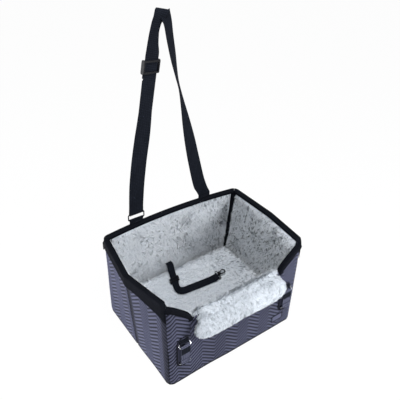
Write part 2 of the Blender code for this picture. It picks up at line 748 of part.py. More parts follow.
def build_base(finish):
    inset = COVER_THICKNESS + LAYER_GAP
    plate("base_cover", 0.0, BASE_COVER_THICKNESS, inset, finish["cover"])
    plate("base_board", BASE_COVER_THICKNESS + LAYER_GAP, BASE_BOARD_THICKNESS, inset, finish["board"])
    inside = WALL_THICKNESS + CUSHION_CLEARANCE
    foam_bottom = BASE_TOP + LAYER_GAP
    plate("booster_foam", foam_bottom, FOAM_HEIGHT, inside, finish["foam"])
    crowned_block("floor_cushion", foam_bottom + FOAM_HEIGHT + LAYER_GAP, inside, finish["fur"])


def binding(name, places, inwards, downs, drops, finish, side=1):
    """Fabric binding folded over an edge: an outer leg, a top, and a leg turned in before the liner."""
    sections = []
    lift = LAYER_GAP + BINDING_THICKNESS
    outer_lip = BINDING_THICKNESS * LIP_SHARE
    inner_lip = TURN_IN_THICKNESS * LIP_SHARE
    inside = TURN_IN_DEPTH + TURN_IN_THICKNESS
    for place, inward, down, drop in zip(places, inwards, downs, drops):
        legs = (
            (-lift, drop), (-lift, outer_lip - lift), (outer_lip - lift, -lift), (inside - inner_lip, -lift),
            (inside, inner_lip - lift), (inside, TURN_IN_DROP), (TURN_IN_DEPTH, TURN_IN_DROP),
            (TURN_IN_DEPTH, -LAYER_GAP), (-LAYER_GAP, -LAYER_GAP), (-LAYER_GAP, drop),
        )
        sections.append([place + inward * depth + down * fall for depth, fall in legs])
    return keep(loft(mirrored(np.array(sections), side)), name, finish)


def rim_stations(walls):
    """Places on a wall's rim, the directions inwards, and the directions down its face."""
    tops = walls["rim"]
    outer = wall_point(walls, tops, 0.0)
    inner = wall_point(walls, tops, WALL_THICKNESS)
    lower = wall_point(walls, tops - TURN_IN_DROP, 0.0)
    return outer, (inner - outer) / WALL_THICKNESS, (lower - outer) / TURN_IN_DROP


def build_bindings(finish, side, back):
    places, inwards, downs = rim_stations(trimmed_side(side, END_GAP / 2))
    forward = np.clip((places[-1, 1] - places[:, 1]) / (places[-1, 1] - places[0, 1]), 0, 1)
    drops = lerp(SIDE_BAND_DROP, SIDE_BAND_FRONT_DROP, np.clip(3 * forward - 2, 0, 1))
    for label, sign in SIDES:
        binding(f"{label}_binding", places, inwards, downs, drops, finish["binding"], side=sign)
    places, inwards, downs = rim_stations(back)
    binding("back_binding", places, inwards, downs, np.full(len(places), BACK_BAND_DROP), finish["binding"])


def build_scoop_bindings(finish, front):
    """The narrow binding down each half of the scoop, from the corner to the scoop's floor."""
    places = scoop_places()
    edge = np.array([[share * front_end(height), front_y(height), height] for share, height in places])
    flat = len(edge)
    turns, turned, _ = rim_stations(trimmed_front(front, SEAM_GAP / 2))
    edge = np.concatenate([edge, turns[1 - len(FRONT_TURN_SHARES):]])
    inwards = np.concatenate([np.tile([0.0, 1.0, 0.0], (flat, 1)), turned[1 - len(FRONT_TURN_SHARES):]])
    steps = np.gradient(edge, axis=0)
    steps[0] = [0.0, 0.0, 1.0]
    steps[-1] = edge[-1] - edge[-2]
    steps = steps / np.linalg.norm(steps, axis=1, keepdims=True)
    downs = np.cross(inwards, steps)
    downs[flat - 1:] = [0.0, 0.0, -1.0]
    downs[:, 1] = downs[:, 2] * (front_y(SEAT_HEIGHT) - front_y(0.0)) / SEAT_HEIGHT
    drops = np.full(len(edge), SCOOP_BAND_DROP)
    for label, sign in SIDES:
        binding(f"scoop_binding_{label}", edge, inwards, downs, drops, finish["binding"], side=sign)


def corner_point(arc_of, share, depth, height):
    points, normals = arc_of(height / SEAT_HEIGHT, [share])
    return np.array([*(points[0] - normals[0] * depth), height])


def build_pipings(finish):
    top = SEAT_HEIGHT - CORNER_DROP - SIDE_BAND_FRONT_DROP - BINDING_THICKNESS
    ends = (COVER_LIFT, top)
    line = np.array([corner_point(front_arc, FRONT_SEAM_SHARE, PIPING_DEPTH, height) for height in ends])
    for label, sign in SIDES:
        keep(tube(mirrored(line, sign), PIPING_RADIUS), f"corner_piping_{label}", finish["binding"])


def corner_strip(name, finish, side, half_share, depth, thickness, low):
    """A strip down a back corner, centred on its arc."""
    shares = (0.5 - half_share, 0.5, 0.5 + half_share)
    levels = (low, SEAT_HEIGHT - ZIP_END)
    outer = np.array([[corner_point(back_arc, s, depth, h) for s in shares] for h in levels])
    inner = np.array([[corner_point(back_arc, s, depth + thickness, h) for s in shares] for h in levels])
    return keep(slab(mirrored(outer, side), mirrored(inner, side)), name, finish)


def zip_frame(side):
    """Frame at the top of the slider: x across the corner, y down it, z outwards."""
    start = SEAT_HEIGHT - SLIDER_TOP
    places = [corner_point(back_arc, 0.5, 0.0, height) for height in (start, start - SLIDER_HEIGHT)]
    normal = np.append(back_arc(start / SEAT_HEIGHT, [0.5])[1][0], 0.0)
    down = mirrored(unit(places[1] - places[0]), side)
    out = mirrored(normal, side)
    return frame_at(mirrored(places[0], side), np.cross(down, out), down)


def pull_cheeks(pinned):
    """The two cheeks that hold the pull's pin, sunk into the slider's face."""
    top = PIN_RADIUS + PULL_PLAY
    foot = -KNUCKLE_RADIUS - LAYER_GAP - SLIDER_THICKNESS / 2
    aside = KNUCKLE_WIDTH / 2 + PULL_PLAY + CHEEK_THICKNESS / 2
    size = (CHEEK_THICKNESS, 2 * KNUCKLE_RADIUS, top - foot)
    return [box(size, (sign * aside, 0.0, (top + foot) / 2), pinned) for _, sign in SIDES]


def build_pull(name, finish, pinned):
    """A knuckle bored for the pin, a neck and the plate that hangs from it."""
    start = KNUCKLE_RADIUS + CHEEK_THICKNESS
    neck_end = start + PULL_WIDTH * PULL_ROUND_SHARE
    plate_length = PULL_LENGTH - start
    knuckle = cylinder(KNUCKLE_RADIUS, -KNUCKLE_WIDTH / 2, KNUCKLE_WIDTH / 2, pinned)
    neck = box((KNUCKLE_WIDTH, neck_end, PULL_THICKNESS), (0.0, neck_end / 2, 0.0), pinned)
    outline = rounded_loop(PULL_WIDTH, plate_length, PULL_WIDTH * PULL_ROUND_SHARE)
    centre = pinned @ Matrix.Translation((0.0, start + plate_length / 2, 0.0))
    plate = flat_outline(outline, (), PULL_THICKNESS, centre)
    pull = joined(name, finish, [knuckle, neck, plate])
    bore_reach = KNUCKLE_WIDTH / 2 + PULL_PLAY
    bore = keep(cylinder(PIN_RADIUS + PULL_PLAY, -bore_reach, bore_reach, pinned), f"{name}_bore", finish)
    SEAT.objects.unlink(bore)
    cut_from(pull, bore)
    return pull


def build_zips(finish):
    gusset_depth = ZIP_THICKNESS + LAYER_GAP
    face = LAYER_GAP + SLIDER_THICKNESS
    pin_reach = KNUCKLE_WIDTH / 2 + PULL_PLAY + CHEEK_THICKNESS / 2
    for label, sign in SIDES:
        corner_strip(f"zip_chain_{label}", finish["binding"], sign, ZIP_HALF_SHARE, 0.0, ZIP_THICKNESS,
                     COVER_LIFT)
        corner_strip(f"corner_gusset_{label}", finish["binding"], sign, GUSSET_HALF_SHARE, gusset_depth,
                     LINER_DEPTH - gusset_depth, BASE_TOP + PANEL_SEAT_GAP)
        placed = zip_frame(sign)
        middle = (0.0, SLIDER_HEIGHT / 2, LAYER_GAP + SLIDER_THICKNESS / 2)
        body = box((SLIDER_WIDTH, SLIDER_HEIGHT, SLIDER_THICKNESS), middle, placed)
        local = (0.0, SLIDER_HEIGHT * PIN_PLACE_SHARE, face + LAYER_GAP + KNUCKLE_RADIUS)
        pinned = placed @ Matrix.Translation(local)
        slider_body = [body, *pull_cheeks(pinned), cylinder(PIN_RADIUS, -pin_reach, pin_reach, pinned)]
        slider = joined(f"zip_slider_{label}", finish["metal"], slider_body)
        pull = build_pull(f"zip_pull_{label}", finish["metal"], pinned)
        hung([slider], f"zip_slider_axis_{label}", placed.translation)
        hung([pull], f"zip_pull_axis_{label}", pinned.translation)


def flap_frame():
    """Hinge line point in the middle, the flap's direction at rest and its outward direction."""
    hinge = np.array([0.0, front_y(SCOOP_FLOOR) - FLAP_HINGE_OUT, SCOOP_FLOOR + FLAP_HINGE_RISE])
    tilt = math.radians(FLAP_TILT_DEG)
    along = np.array([0.0, -math.sin(tilt), -math.cos(tilt)])
    out = np.array([0.0, -math.cos(tilt), math.sin(tilt)])
    return hinge, along, out


def build_flap(finish):
    """The flap: a thick pad of fur, flat behind and crowned in front, on a stiff backing."""
    hinge, along, out = flap_frame()
    low = FLAP_BACKING_THICKNESS + LAYER_GAP - FLAP_BACK
    room = FLAP_THICKNESS - FLAP_BACKING_THICKNESS - LAYER_GAP
    sections = []
    outline = []
    for place, width_share, bulk_share in FLAP_SHARES:
        at = lerp(-FLAP_ROOT_RADIUS, FLAP_LENGTH, place)
        width = FLAP_HALF_WIDTH * width_share
        high = low + room * bulk_share
        half = [(across * width, lerp(low, high, rise)) for across, rise in CROWN_PROFILE_SHARES]
        ring = [(0.0, low), *half, (0.0, high)] + [(-x, n) for x, n in half[::-1]]
        sections.append([hinge + np.array([x, 0.0, 0.0]) + along * at + out * n for x, n in ring])
        outline.append((width * BACKING_SHARE, at))
    pad = keep(loft(sections), "front_flap", finish["fur"], smooth_deg=SOFT_SMOOTH_DEG)
    outline = outline + [(-x, at) for x, at in outline[::-1]]
    middle = hinge - out * (FLAP_BACK - FLAP_BACKING_THICKNESS / 2)
    placed = frame_at(middle, np.array([1.0, 0.0, 0.0]), along)
    backing = keep(flat_outline(outline, (), FLAP_BACKING_THICKNESS, placed), "flap_backing", finish["cover"])
    hung([pad, backing], "flap_axis", hinge)


def build_fold(finish):
    """The padded fold of fur over the scoop's floor, between the lining and the flap."""
    start = front_y(SCOOP_FLOOR) + LAYER_GAP
    depth = WALL_THICKNESS + FOLD_OVERHANG
    half = SCOOP_HALF_WIDTH - FOLD_END_GAP
    floor = SCOOP_FLOOR + LAYER_GAP
    sections = [
        [[lerp(-half, half, place), start + depth * back, floor + FOLD_RISE * rise * height]
         for back, rise in FOLD_SHARES]
        for place, height in FOLD_END_SHARES
    ]
    keep(loft(sections), "front_fold", finish["fur"], smooth_deg=SOFT_SMOOTH_DEG)


def front_frame(x, z):
    """A frame on the front wall's outer face: x across, y up the wall, z outwards."""
    up = np.array([0.0, front_y(SEAT_HEIGHT) - front_y(0.0), SEAT_HEIGHT])
    return frame_at(np.array([x, front_y(z), z]), np.array([1.0, 0.0, 0.0]), up)


def circle(radius, count, centre=(0.0, 0.0)):
    angles = np.linspace(0, 2 * math.pi, count + 1)[:-1]
    return [(centre[0] + radius * math.cos(a), centre[1] - radius * math.sin(a)) for a in angles]


def stadium(width, height, steps=STADIUM_STEPS):
    """Outline of an upright stadium centred on the origin."""
    radius = width / 2
    rise = height / 2 - radius
    angles = np.linspace(0, math.pi, steps + 1)
    top = [(radius * math.cos(a), rise + radius * math.sin(a)) for a in angles]
    return top + [(-x, -y) for x, y in top]


def rounded_loop(width, height, radius, steps=3):
    """Corner points of a rectangle with rounded corners, centred on the origin."""
    made = []
    for corner_x, corner_y, first in ((1, 1, 0), (-1, 1, 1), (-1, -1, 2), (1, -1, 3)):
        for step in range(steps + 1):
            angle = (first + step / steps) * math.pi / 2
            made.append((corner_x * (width / 2 - radius) + radius * math.cos(angle),
                         corner_y * (height / 2 - radius) + radius * math.sin(angle)))
    return made


def sewn_loop(placed, width, bar_radius, tail, shift):
    """Webbing folded round a bar and sewn to itself: an eye with a double tail along +x."""
    eye = bar_radius + WEB_CLEARANCE
    outer = eye + WEB_THICKNESS
    high = math.asin(min((shift + WEB_THICKNESS) / outer, 1.0))
    low = math.asin(max((shift - WEB_THICKNESS) / outer, -1.0))
    angles = np.linspace(high, 2 * math.pi + low, LOOP_STEPS)
    outline = [(outer * math.cos(a), outer * math.sin(a)) for a in angles]
    outline += [(tail, shift - WEB_THICKNESS), (tail, shift + WEB_THICKNESS)]
    return flat_outline(outline, (circle(eye, LOOP_STEPS),), width, placed)


def wire_ring(placed, width, height, wire, resolution=1):
    path = [placed @ Vector((x, y, 0.0)) for x, y in rounded_loop(width, height, 2 * wire)]
    return tube(path, wire, closed=True, resolution=resolution)


def build_keepers(finish):
    """Each belt keeper: a patch with two tabs, two rings, and webbing that stands off the wall."""
    bar = KEEPER_BAR_RADIUS
    outer = bar + WEB_CLEARANCE + WEB_THICKNESS
    patch_top = LAYER_GAP + KEEPER_PATCH_THICKNESS
    tab_lift = patch_top + outer - KEEPER_PATCH_THICKNESS * TAB_BITE_SHARE
    lean = KEEPER_STANDOFF - tab_lift
    reach = math.sqrt(KEEPER_RING_HEIGHT**2 - lean**2)
    tab_at = KEEPER_RING_SPAN / 2
    for label, side in SIDES:
        placed = front_frame(side * KEEPER_X, KEEPER_BOTTOM + KEEPER_HEIGHT / 2)
        across, up, out = (np.array(placed.to_3x3().col[i]) for i in range(3))
        centre = np.array(placed.translation)
        lifted = placed @ Matrix.Translation((0.0, 0.0, LAYER_GAP + KEEPER_PATCH_THICKNESS / 2))
        parts = [flat_outline(stadium(KEEPER_WIDTH, KEEPER_HEIGHT), (), KEEPER_PATCH_THICKNESS, lifted)]
        for end, sign in (("upper", 1), ("lower", -1)):
            bar_at = centre + up * sign * tab_at + out * tab_lift
            loop_frame = frame_at(bar_at, up * sign, out)
            shift = WEB_THICKNESS - outer
            parts.append(sewn_loop(loop_frame, KEEPER_WEB_WIDTH, bar, KEEPER_TAB_LENGTH, shift))
            ring_way = unit(-up * sign * reach + out * lean)
            ring_frame = frame_at(bar_at + ring_way * KEEPER_RING_HEIGHT / 2, across, ring_way)
            ring_width = KEEPER_WEB_WIDTH + 4 * bar
            keep(wire_ring(ring_frame, ring_width, KEEPER_RING_HEIGHT, bar), f"keeper_ring_{end}_{label}",
                 finish["metal"])
        joined(f"keeper_patch_{label}", finish["web"], parts)
        web_frame = frame_at(centre + out * KEEPER_STANDOFF, up, out)
        keep(keeper_webbing(web_frame, tab_at - reach), f"keeper_webbing_{label}", finish["web"])


def keeper_webbing(placed, bar_at):
    """Webbing between the two rings' outer bars, doubled over its upper part."""
    eye = KEEPER_BAR_RADIUS + WEB_CLEARANCE
    outer = eye + WEB_THICKNESS
    meet = math.asin(WEB_THICKNESS / outer)
    turns = np.linspace(math.pi - meet, meet - math.pi, LOOP_STEPS)
    upper = [(bar_at + outer * math.cos(a), outer * math.sin(a)) for a in turns]
    lower = [(-x, -y) for x, y in upper]
    fold_end = lerp(bar_at, -bar_at, KEEPER_FOLD_SHARE)
    tail_end = KEEPER_TAB_LENGTH - bar_at
    outline = [*upper, *lower, (tail_end, WEB_THICKNESS), (tail_end, 0.0), (fold_end, 0.0),
               (fold_end, WEB_THICKNESS)]
    holes = [circle(eye, LOOP_STEPS, (bar_at, 0.0)), circle(eye, LOOP_STEPS, (-bar_at, 0.0))]
    return flat_outline(outline, holes, KEEPER_WEB_WIDTH, placed)


def build_label(finish):
    placed = front_frame(LABEL_X, LABEL_Z) @ Matrix.Translation((0.0, 0.0, LAYER_GAP + LABEL_THICKNESS / 2))
    outline = rounded_loop(LABEL_WIDTH, LABEL_HEIGHT, 2 * LABEL_THICKNESS)
    keep(flat_outline(outline, (), LABEL_THICKNESS, placed), "label", finish["label"])


def smoothed(points, steps):
    """A finer run through the given stations: Catmull-Rom between each pair."""
    points = np.asarray(points, float)
    padded = np.concatenate([[2 * points[0] - points[1]], points, [2 * points[-1] - points[-2]]])
    made = []
    for a, b, c, d in zip(padded, padded[1:], padded[2:], padded[3:]):
        for share in np.arange(steps) / steps:
            made.append(0.5 * (2 * b + (c - a) * share + (2 * a - 5 * b + 4 * c - d) * share**2
                               + (3 * b - a - 3 * c + d) * share**3))
    made.append(points[-1])
    return np.array(made)


def ribbon(places, widths, normals, half_width, lows, highs):
    """Webbing through stations, across the width and between two offsets along the normal."""
    edges = np.stack([places - widths * half_width, places + widths * half_width], axis=1)
    outer = edges + (normals * highs[:, None])[:, None]
    inner = edges + (normals * lows[:, None])[:, None]
    return slab(outer, inner)


def rim_line(x):
    """Depth of the middle of the back binding at a place across, and the height of its top."""
    end = back_arc(1.0, [1.0])[0][0]
    share = 1 - (x / end[0]) ** 2
    middle = (TURN_IN_DEPTH + TURN_IN_THICKNESS - LAYER_GAP - BINDING_THICKNESS) / 2
    return end[1] + BACK_BOW * share - middle, SEAT_HEIGHT + BACK_RISE * share + LAYER_GAP + BINDING_THICKNESS


def strap_axis():
    """The line that the strap swings on: depth and height, common to its two ends."""
    depth, top = rim_line(TAB_X)
    return depth, top + TAB_HEIGHT


def strap_stations():
    """The strap's run from the ring over its top to the sewn end: places, widths and front normals."""
    depth, axis_height = strap_axis()
    bar_height = axis_height + RING_HEIGHT
    fine = smoothed(STRAP_ROUTE_SHARES, 3)
    places = np.column_stack([
        TAB_X + STRAP_SPREAD * fine[:, 0],
        depth + STRAP_LEAN * fine[:, 2],
        bar_height + STRAP_RISE * fine[:, 1],
    ])
    places[-1] = [STRAP_END_X, depth, axis_height + STRAP_START]
    turns, tilts = np.radians(fine[:, 3:]).T
    widths = np.column_stack([np.cos(turns) * np.cos(tilts), np.sin(turns) * np.cos(tilts), -np.sin(tilts)])
    tangents = np.gradient(places, axis=0)
    tangents = tangents / np.linalg.norm(tangents, axis=1, keepdims=True)
    heights = places[:, 2]
    square = np.clip((heights - bar_height) / SPREAD_RUN, 0, 1)
    square = square * np.clip((heights.max() - heights) / STRAP_FOLD_REACH, 0, 1)
    widths = widths - tangents * (np.sum(widths * tangents, axis=1) * square)[:, None]
    widths = widths / np.linalg.norm(widths, axis=1, keepdims=True)
    normals = np.cross(widths, tangents)
    normals = normals / np.linalg.norm(normals, axis=1, keepdims=True)
    return places, widths, normals


def tri_glide(name, finish, placed, web, height, side, bar, thickness, core, front):
    """A slider: two rails, two bars before the webbing, and a core bar behind it for the sewn fold."""
    back = core + WEB_CLEARANCE * 2 + WEB_THICKNESS
    depth = front + thickness + back + core
    middle = (front + thickness - back - core) / 2
    rail_x = web / 2 + GLIDE_PLAY + side / 2
    meshes = []
    for sign in (-1, 1):
        turned = placed @ Matrix(((0, 0, 1, sign * rail_x), (0, 1, 0, 0), (1, 0, 0, middle), (0, 0, 0, 1)))
        meshes.append(flat_outline(rounded_loop(depth + GLIDE_PLAY, height, depth * GLIDE_ROUND_SHARE), (),
                                   side, turned))
    bar_y = height / 2 - bar / 2 - GLIDE_PLAY
    bars = [box((2 * rail_x, bar, thickness), (0.0, sign * bar_y, front + thickness / 2), placed)
            for sign in (-1, 1)]
    axle = placed @ Matrix.Translation((0.0, 0.0, -back)) @ Matrix.Rotation(math.pi / 2, 4, "Y")
    core_mesh = flat_outline(circle(core, LOOP_STEPS), (), 2 * rail_x, axle)
    return joined(name, finish, [meshes[0], *bars, core_mesh, meshes[1]])


def build_strap(finish):
    depth, axis_height = strap_axis()
    places, widths, normals = strap_stations()
    turn = widths[0]
    front = normals[0]
    bar_at = places[0]
    axis = bar_at - np.array([0.0, 0.0, RING_HEIGHT])
    half = WEB_WIDTH / 2
    eye = BAR_RADIUS + WEB_CLEARANCE

    _, rim_top = rim_line(TAB_X)
    tab_frame = frame_at(axis, np.array([0.0, 0.0, -1.0]), np.array([0.0, -1.0, 0.0]))
    tab = sewn_loop(tab_frame, WEB_WIDTH, BAR_RADIUS, axis[2] - rim_top - LAYER_GAP, 0.0)
    keep(tab, "strap_tab", finish["web"])
    ring_frame = frame_at(axis + np.array([0.0, 0.0, RING_HEIGHT / 2]), turn, np.array([0.0, 0.0, 1.0]))
    ring = keep(wire_ring(ring_frame, RING_INSIDE + 2 * BAR_RADIUS, RING_HEIGHT, BAR_RADIUS), "strap_ring",
                finish["metal"])

    up = np.array([0.0, 0.0, 1.0])
    turns = np.linspace(math.pi, 0, LOOP_STEPS)[:-1]
    wrap = [front * math.cos(a) - up * math.sin(a) for a in turns]
    climb = np.clip((places[:, 2] - bar_at[2]) / SPREAD_RUN, 0, 1)
    nearness = 1 - climb**2 * (3 - 2 * climb)
    over = np.argmax(places[:, 2])
    nearness[over:] = 0.0
    level = LAYER_GAP / 2
    lows = lerp(level, eye, nearness)
    ending = np.clip((places[:, 2] - places[-1, 2]) / SPREAD_RUN, 0, 1)
    ending[:over] = 1.0
    lows = lerp(-WEB_THICKNESS / 2, lows, ending)
    main_lows = np.concatenate([np.full(len(wrap), eye), lows])
    webbing = keep(ribbon(
        np.concatenate([np.tile(bar_at, (len(wrap), 1)), places]),
        np.concatenate([np.tile(turn, (len(wrap), 1)), widths]),
        np.concatenate([wrap, normals]), half, main_lows, main_lows + WEB_THICKNESS,
    ), "strap_webbing", finish["web"])

    slider_at = int(np.argmin(np.abs(places[:over, 2] - (bar_at[2] + SLIDER_AT))))
    middle = places[slider_at]
    slider_up = unit(places[slider_at + 1] - places[slider_at - 1])
    slider_frame = frame_at(middle, widths[slider_at], slider_up)
    if np.array(slider_frame.to_3x3().col[2]) @ normals[slider_at] < 0:
        slider_frame = slider_frame @ Matrix.Rotation(math.pi, 4, "Y")
    slider_frame = slider_frame @ Matrix.Translation((0.0, 0.0, level))
    slider = tri_glide("strap_slider", finish["metal"], slider_frame, WEB_WIDTH, GLIDE_HEIGHT, GLIDE_SIDE,
                       GLIDE_BAR, GLIDE_THICKNESS, GLIDE_CORE, WEB_THICKNESS + 2 * WEB_CLEARANCE)
    fold = keep(glide_fold(slider_frame, WEB_WIDTH, GLIDE_CORE, FOLD_TAIL), "slider_fold", finish["web"])

    climb_heights = places[:slider_at, 2]
    stop = middle[2] - FOLD_TAIL - WEB_THICKNESS
    kept = climb_heights < stop
    back_places = places[:slider_at][kept]
    back_lows = -lows[:slider_at][kept] - WEB_THICKNESS
    lift = np.array([[0.0, 0.0, LAYER_GAP]])
    back_places = back_places + lift * (np.arange(len(back_places)) == 0)[:, None]
    layer = ribbon(back_places, widths[:slider_at][kept], normals[:slider_at][kept], half, back_lows,
                   back_lows + WEB_THICKNESS)
    returning = keep(layer, "strap_return", finish["web"])

    _, end_top = rim_line(STRAP_END_X)
    low = end_top + LAYER_GAP
    high = axis_height - STRAP_END_GAP
    keep(box((WEB_WIDTH, WEB_THICKNESS, high - low), (STRAP_END_X, depth, (low + high) / 2)), "strap_end",
         finish["web"])
    hung([ring, webbing, returning], "strap_axis", (0.0, depth, axis_height))
    hung([slider, fold], "strap_slider_axis", middle)


def glide_fold(placed, web, core, tail):
    """Webbing sewn round a slider's core bar, with its double tail hanging behind the main layer."""
    back = core + WEB_CLEARANCE * 2 + WEB_THICKNESS
    turned = placed @ Matrix(((0, 0, 1, 0), (-1, 0, 0, 0), (0, -1, 0, -back), (0, 0, 0, 1)))
    return sewn_loop(turned, web, core, tail, WEB_THICKNESS - (core + WEB_CLEARANCE + WEB_THICKNESS))


def hung(pieces, name, place):
    """Puts an axis empty on a joint and hangs the moving pieces on it."""
    axis = bpy.data.objects.new(name, None)
    axis.empty_display_size = BAR_RADIUS
    axis.location = tuple(map(float, place))
    SEAT.objects.link(axis)
    shift = Matrix.Translation(axis.location)
    for piece in pieces:
        piece.parent = axis
        piece.data.transform(shift.inverted())
        for change in piece.modifiers:
            if change.type == "BOOLEAN":
                change.object.parent = axis
                change.object.data.transform(shift.inverted())


def cylinder(radius, start, end, placed):
    """A round bar along a frame's x axis."""
    turned = placed @ Matrix.Translation(((start + end) / 2, 0.0, 0.0)) @ Matrix.Rotation(math.pi / 2, 4, "Y")
    return flat_outline(circle(radius, LOOP_STEPS), (), end - start, turned)


def tether_stations():
    """The tether's run over the cushion: places, widths and normals, banked so that it stands on an edge."""
    fine = smoothed(TETHER_ROUTE_SHARES, 2)
    places = np.column_stack([
        TETHER_X + TETHER_ACROSS * fine[:, 0],
        TETHER_Y - TETHER_FORWARD * fine[:, 1],
        np.full(len(fine), TETHER_HEIGHT),
    ])
    tangents = np.gradient(places, axis=0)
    tangents = tangents / np.linalg.norm(tangents, axis=1, keepdims=True)
    flat = np.cross(tangents, [0.0, 0.0, 1.0])
    banks = np.radians(fine[:, 2])[:, None]
    widths = flat * np.cos(banks) + np.array([0.0, 0.0, 1.0]) * np.sin(banks)
    widths[0] = [np.sign(widths[0][0]), 0.0, 0.0]
    normals = np.cross(widths, tangents)
    return places, widths, tangents, normals


def back_face_depth(height):
    """Depth of the back wall's outer face near its middle."""
    share = height / SEAT_HEIGHT
    return back_arc(share, [1.0])[0][0][1] + BACK_BOW * share * (1 - (TETHER_WEB / SEAT_WIDTH) ** 2)


def build_tether(finish):
    places, widths, tangents, normals = tether_stations()
    half = TETHER_WEB / 2
    eye = TETHER_BAR_RADIUS + WEB_CLEARANCE
    outer = eye + WEB_THICKNESS
    end = places[-1]
    heading = tangents[-1] - np.array([0.0, 0.0, HOOK_FALL_SHARE])
    heading = unit(heading - widths[-1] * (heading @ widths[-1]))
    lows = np.full(len(places), -WEB_THICKNESS / 2)
    strip = ribbon(places, widths, normals, half, lows, lows + WEB_THICKNESS)
    bar_at = end + tangents[-1] * outer
    loop_frame = frame_at(bar_at, -tangents[-1], normals[-1])
    loop = sewn_loop(loop_frame, TETHER_WEB - LAYER_GAP, TETHER_BAR_RADIUS, outer + TETHER_TAIL, 0.0)
    webbing = joined("tether_webbing", finish["web"], [strip, loop])

    liner_face = back_face_depth(TETHER_HEIGHT) - WALL_THICKNESS - LAYER_GAP
    anchor_mid = (places[0][0], (TETHER_Y + WEB_THICKNESS + liner_face) / 2, TETHER_HEIGHT)
    anchor_size = (TETHER_WEB, liner_face - TETHER_Y - WEB_THICKNESS, 2 * WEB_THICKNESS)
    keep(box(anchor_size, anchor_mid), "tether_anchor", finish["web"])

    hook_frame = frame_at(bar_at, heading, np.cross([0.0, 0.0, 1.0], heading))
    swivel_frame = frame_at(bar_at, heading, widths[-1] - heading * (widths[-1] @ heading))
    ring_mid = swivel_frame @ Matrix.Translation((SWIVEL_RING / 2, 0.0, 0.0))
    ring_mid = ring_mid @ Matrix.Rotation(math.pi / 2, 4, "Z")
    ring = wire_ring(ring_mid, TETHER_WEB + 4 * TETHER_BAR_RADIUS, SWIVEL_RING, TETHER_BAR_RADIUS)
    boss_end = SWIVEL_RING + SWIVEL_LENGTH - TETHER_BAR_RADIUS
    boss = cylinder(SWIVEL_RADIUS, SWIVEL_RING - TETHER_BAR_RADIUS, boss_end, swivel_frame)
    swivel = joined("swivel", finish["metal"], [ring, boss])
    hollow = cylinder(STEM_RADIUS + WEB_CLEARANCE, outer, boss_end + outer, swivel_frame)
    bore = keep(hollow, "swivel_bore", finish["metal"])
    SEAT.objects.unlink(bore)
    cut_from(swivel, bore)

    shoulder = boss_end + WEB_CLEARANCE
    head_end = SWIVEL_RING - TETHER_BAR_RADIUS - WEB_CLEARANCE
    stem = cylinder(STEM_RADIUS, head_end - STEM_RADIUS / 2, shoulder + STEM_RADIUS, hook_frame)
    head = cylinder(STEM_RADIUS * HEAD_SHARE, head_end - STEM_RADIUS, head_end, hook_frame)
    collar_end = shoulder + COLLAR_LENGTH
    collar = cylinder(SWIVEL_RADIUS, shoulder, collar_end, hook_frame)
    ring_x = collar_end + HOOK_THROAT + HOOK_EYE_RADIUS
    curve = [(collar_end - HOOK_WIRE / 2, 0.0)]
    curve += [(lerp(collar_end, ring_x, on), -HOOK_EYE_RADIUS * aside) for on, aside in HOOK_NECK_SHARES]
    for angle in np.radians(np.linspace(-HOOK_SIDE_DEG, HOOK_TIP_DEG, HOOK_STEPS)):
        curve.append((ring_x + HOOK_EYE_RADIUS * math.cos(angle), HOOK_EYE_RADIUS * math.sin(angle)))
    hook_wire = tube([hook_frame @ Vector((x, y, 0.0)) for x, y in curve], HOOK_WIRE, resolution=1)
    tip = curve[-1]
    guide_y = tip[1]
    guide = box((COLLAR_LENGTH, guide_y + BOLT_RADIUS * 3, 2 * SWIVEL_RADIUS * GUIDE_SHARE),
                ((shoulder + collar_end) / 2, (guide_y + BOLT_RADIUS * 3) / 2, 0.0), hook_frame)
    hook = joined("snap_hook", finish["metal"], [stem, head, collar, guide, hook_wire])
    bolt_frame = hook_frame @ Matrix.Translation((0.0, guide_y, 0.0))
    hole = keep(cylinder(BOLT_RADIUS + WEB_CLEARANCE, shoulder - COLLAR_LENGTH, collar_end + COLLAR_LENGTH,
                         bolt_frame), "bolt_bore", finish["metal"])
    SEAT.objects.unlink(hole)
    cut_from(hook, hole)

    bolt_start = (shoulder + collar_end) / 2
    bolt_end = tip[0] - LAYER_GAP - HOOK_WIRE * TIP_SLANT_SHARE
    rod = cylinder(BOLT_RADIUS, bolt_start, bolt_end, bolt_frame)
    knob_frame = bolt_frame @ Matrix.Translation((bolt_end - BOLT_RADIUS * 2, 0.0, 0.0)) @ Matrix.Rotation(
        math.pi / 2, 4, "Z")
    knob = cylinder(BOLT_RADIUS * KNOB_SHARE, 0.0, KNOB_HEIGHT, knob_frame)
    bolt = joined("hook_bolt", finish["metal"], [rod, knob])

    slider_at = int(np.argmin(np.linalg.norm(places - places[TETHER_SLIDER_STATION], axis=1)))
    glide_frame = frame_at(places[slider_at], widths[slider_at], -tangents[slider_at])
    if glide_frame.to_3x3().col[2][2] < 0:
        glide_frame = glide_frame @ Matrix.Rotation(math.pi, 4, "Y")
    glide_frame = glide_frame @ Matrix.Translation((0.0, 0.0, -WEB_THICKNESS / 2))
    slider = tri_glide("tether_slider", finish["metal"], glide_frame, TETHER_WEB, TETHER_GLIDE_HEIGHT,
                       TETHER_GLIDE_SIDE, TETHER_GLIDE_BAR, TETHER_GLIDE_THICKNESS, TETHER_CORE,
                       WEB_THICKNESS + WEB_CLEARANCE)
    fold = keep(glide_fold(glide_frame, TETHER_WEB, TETHER_CORE, TETHER_TAIL), "tether_fold", finish["web"])
    hung([webbing, swivel], "tether_axis", places[0])
    hung([slider, fold], "tether_slider_axis", places[slider_at])
    hung([hook], "hook_axis", bar_at)
    hung([bolt], "bolt_axis", (np.array(bolt_frame.translation)))


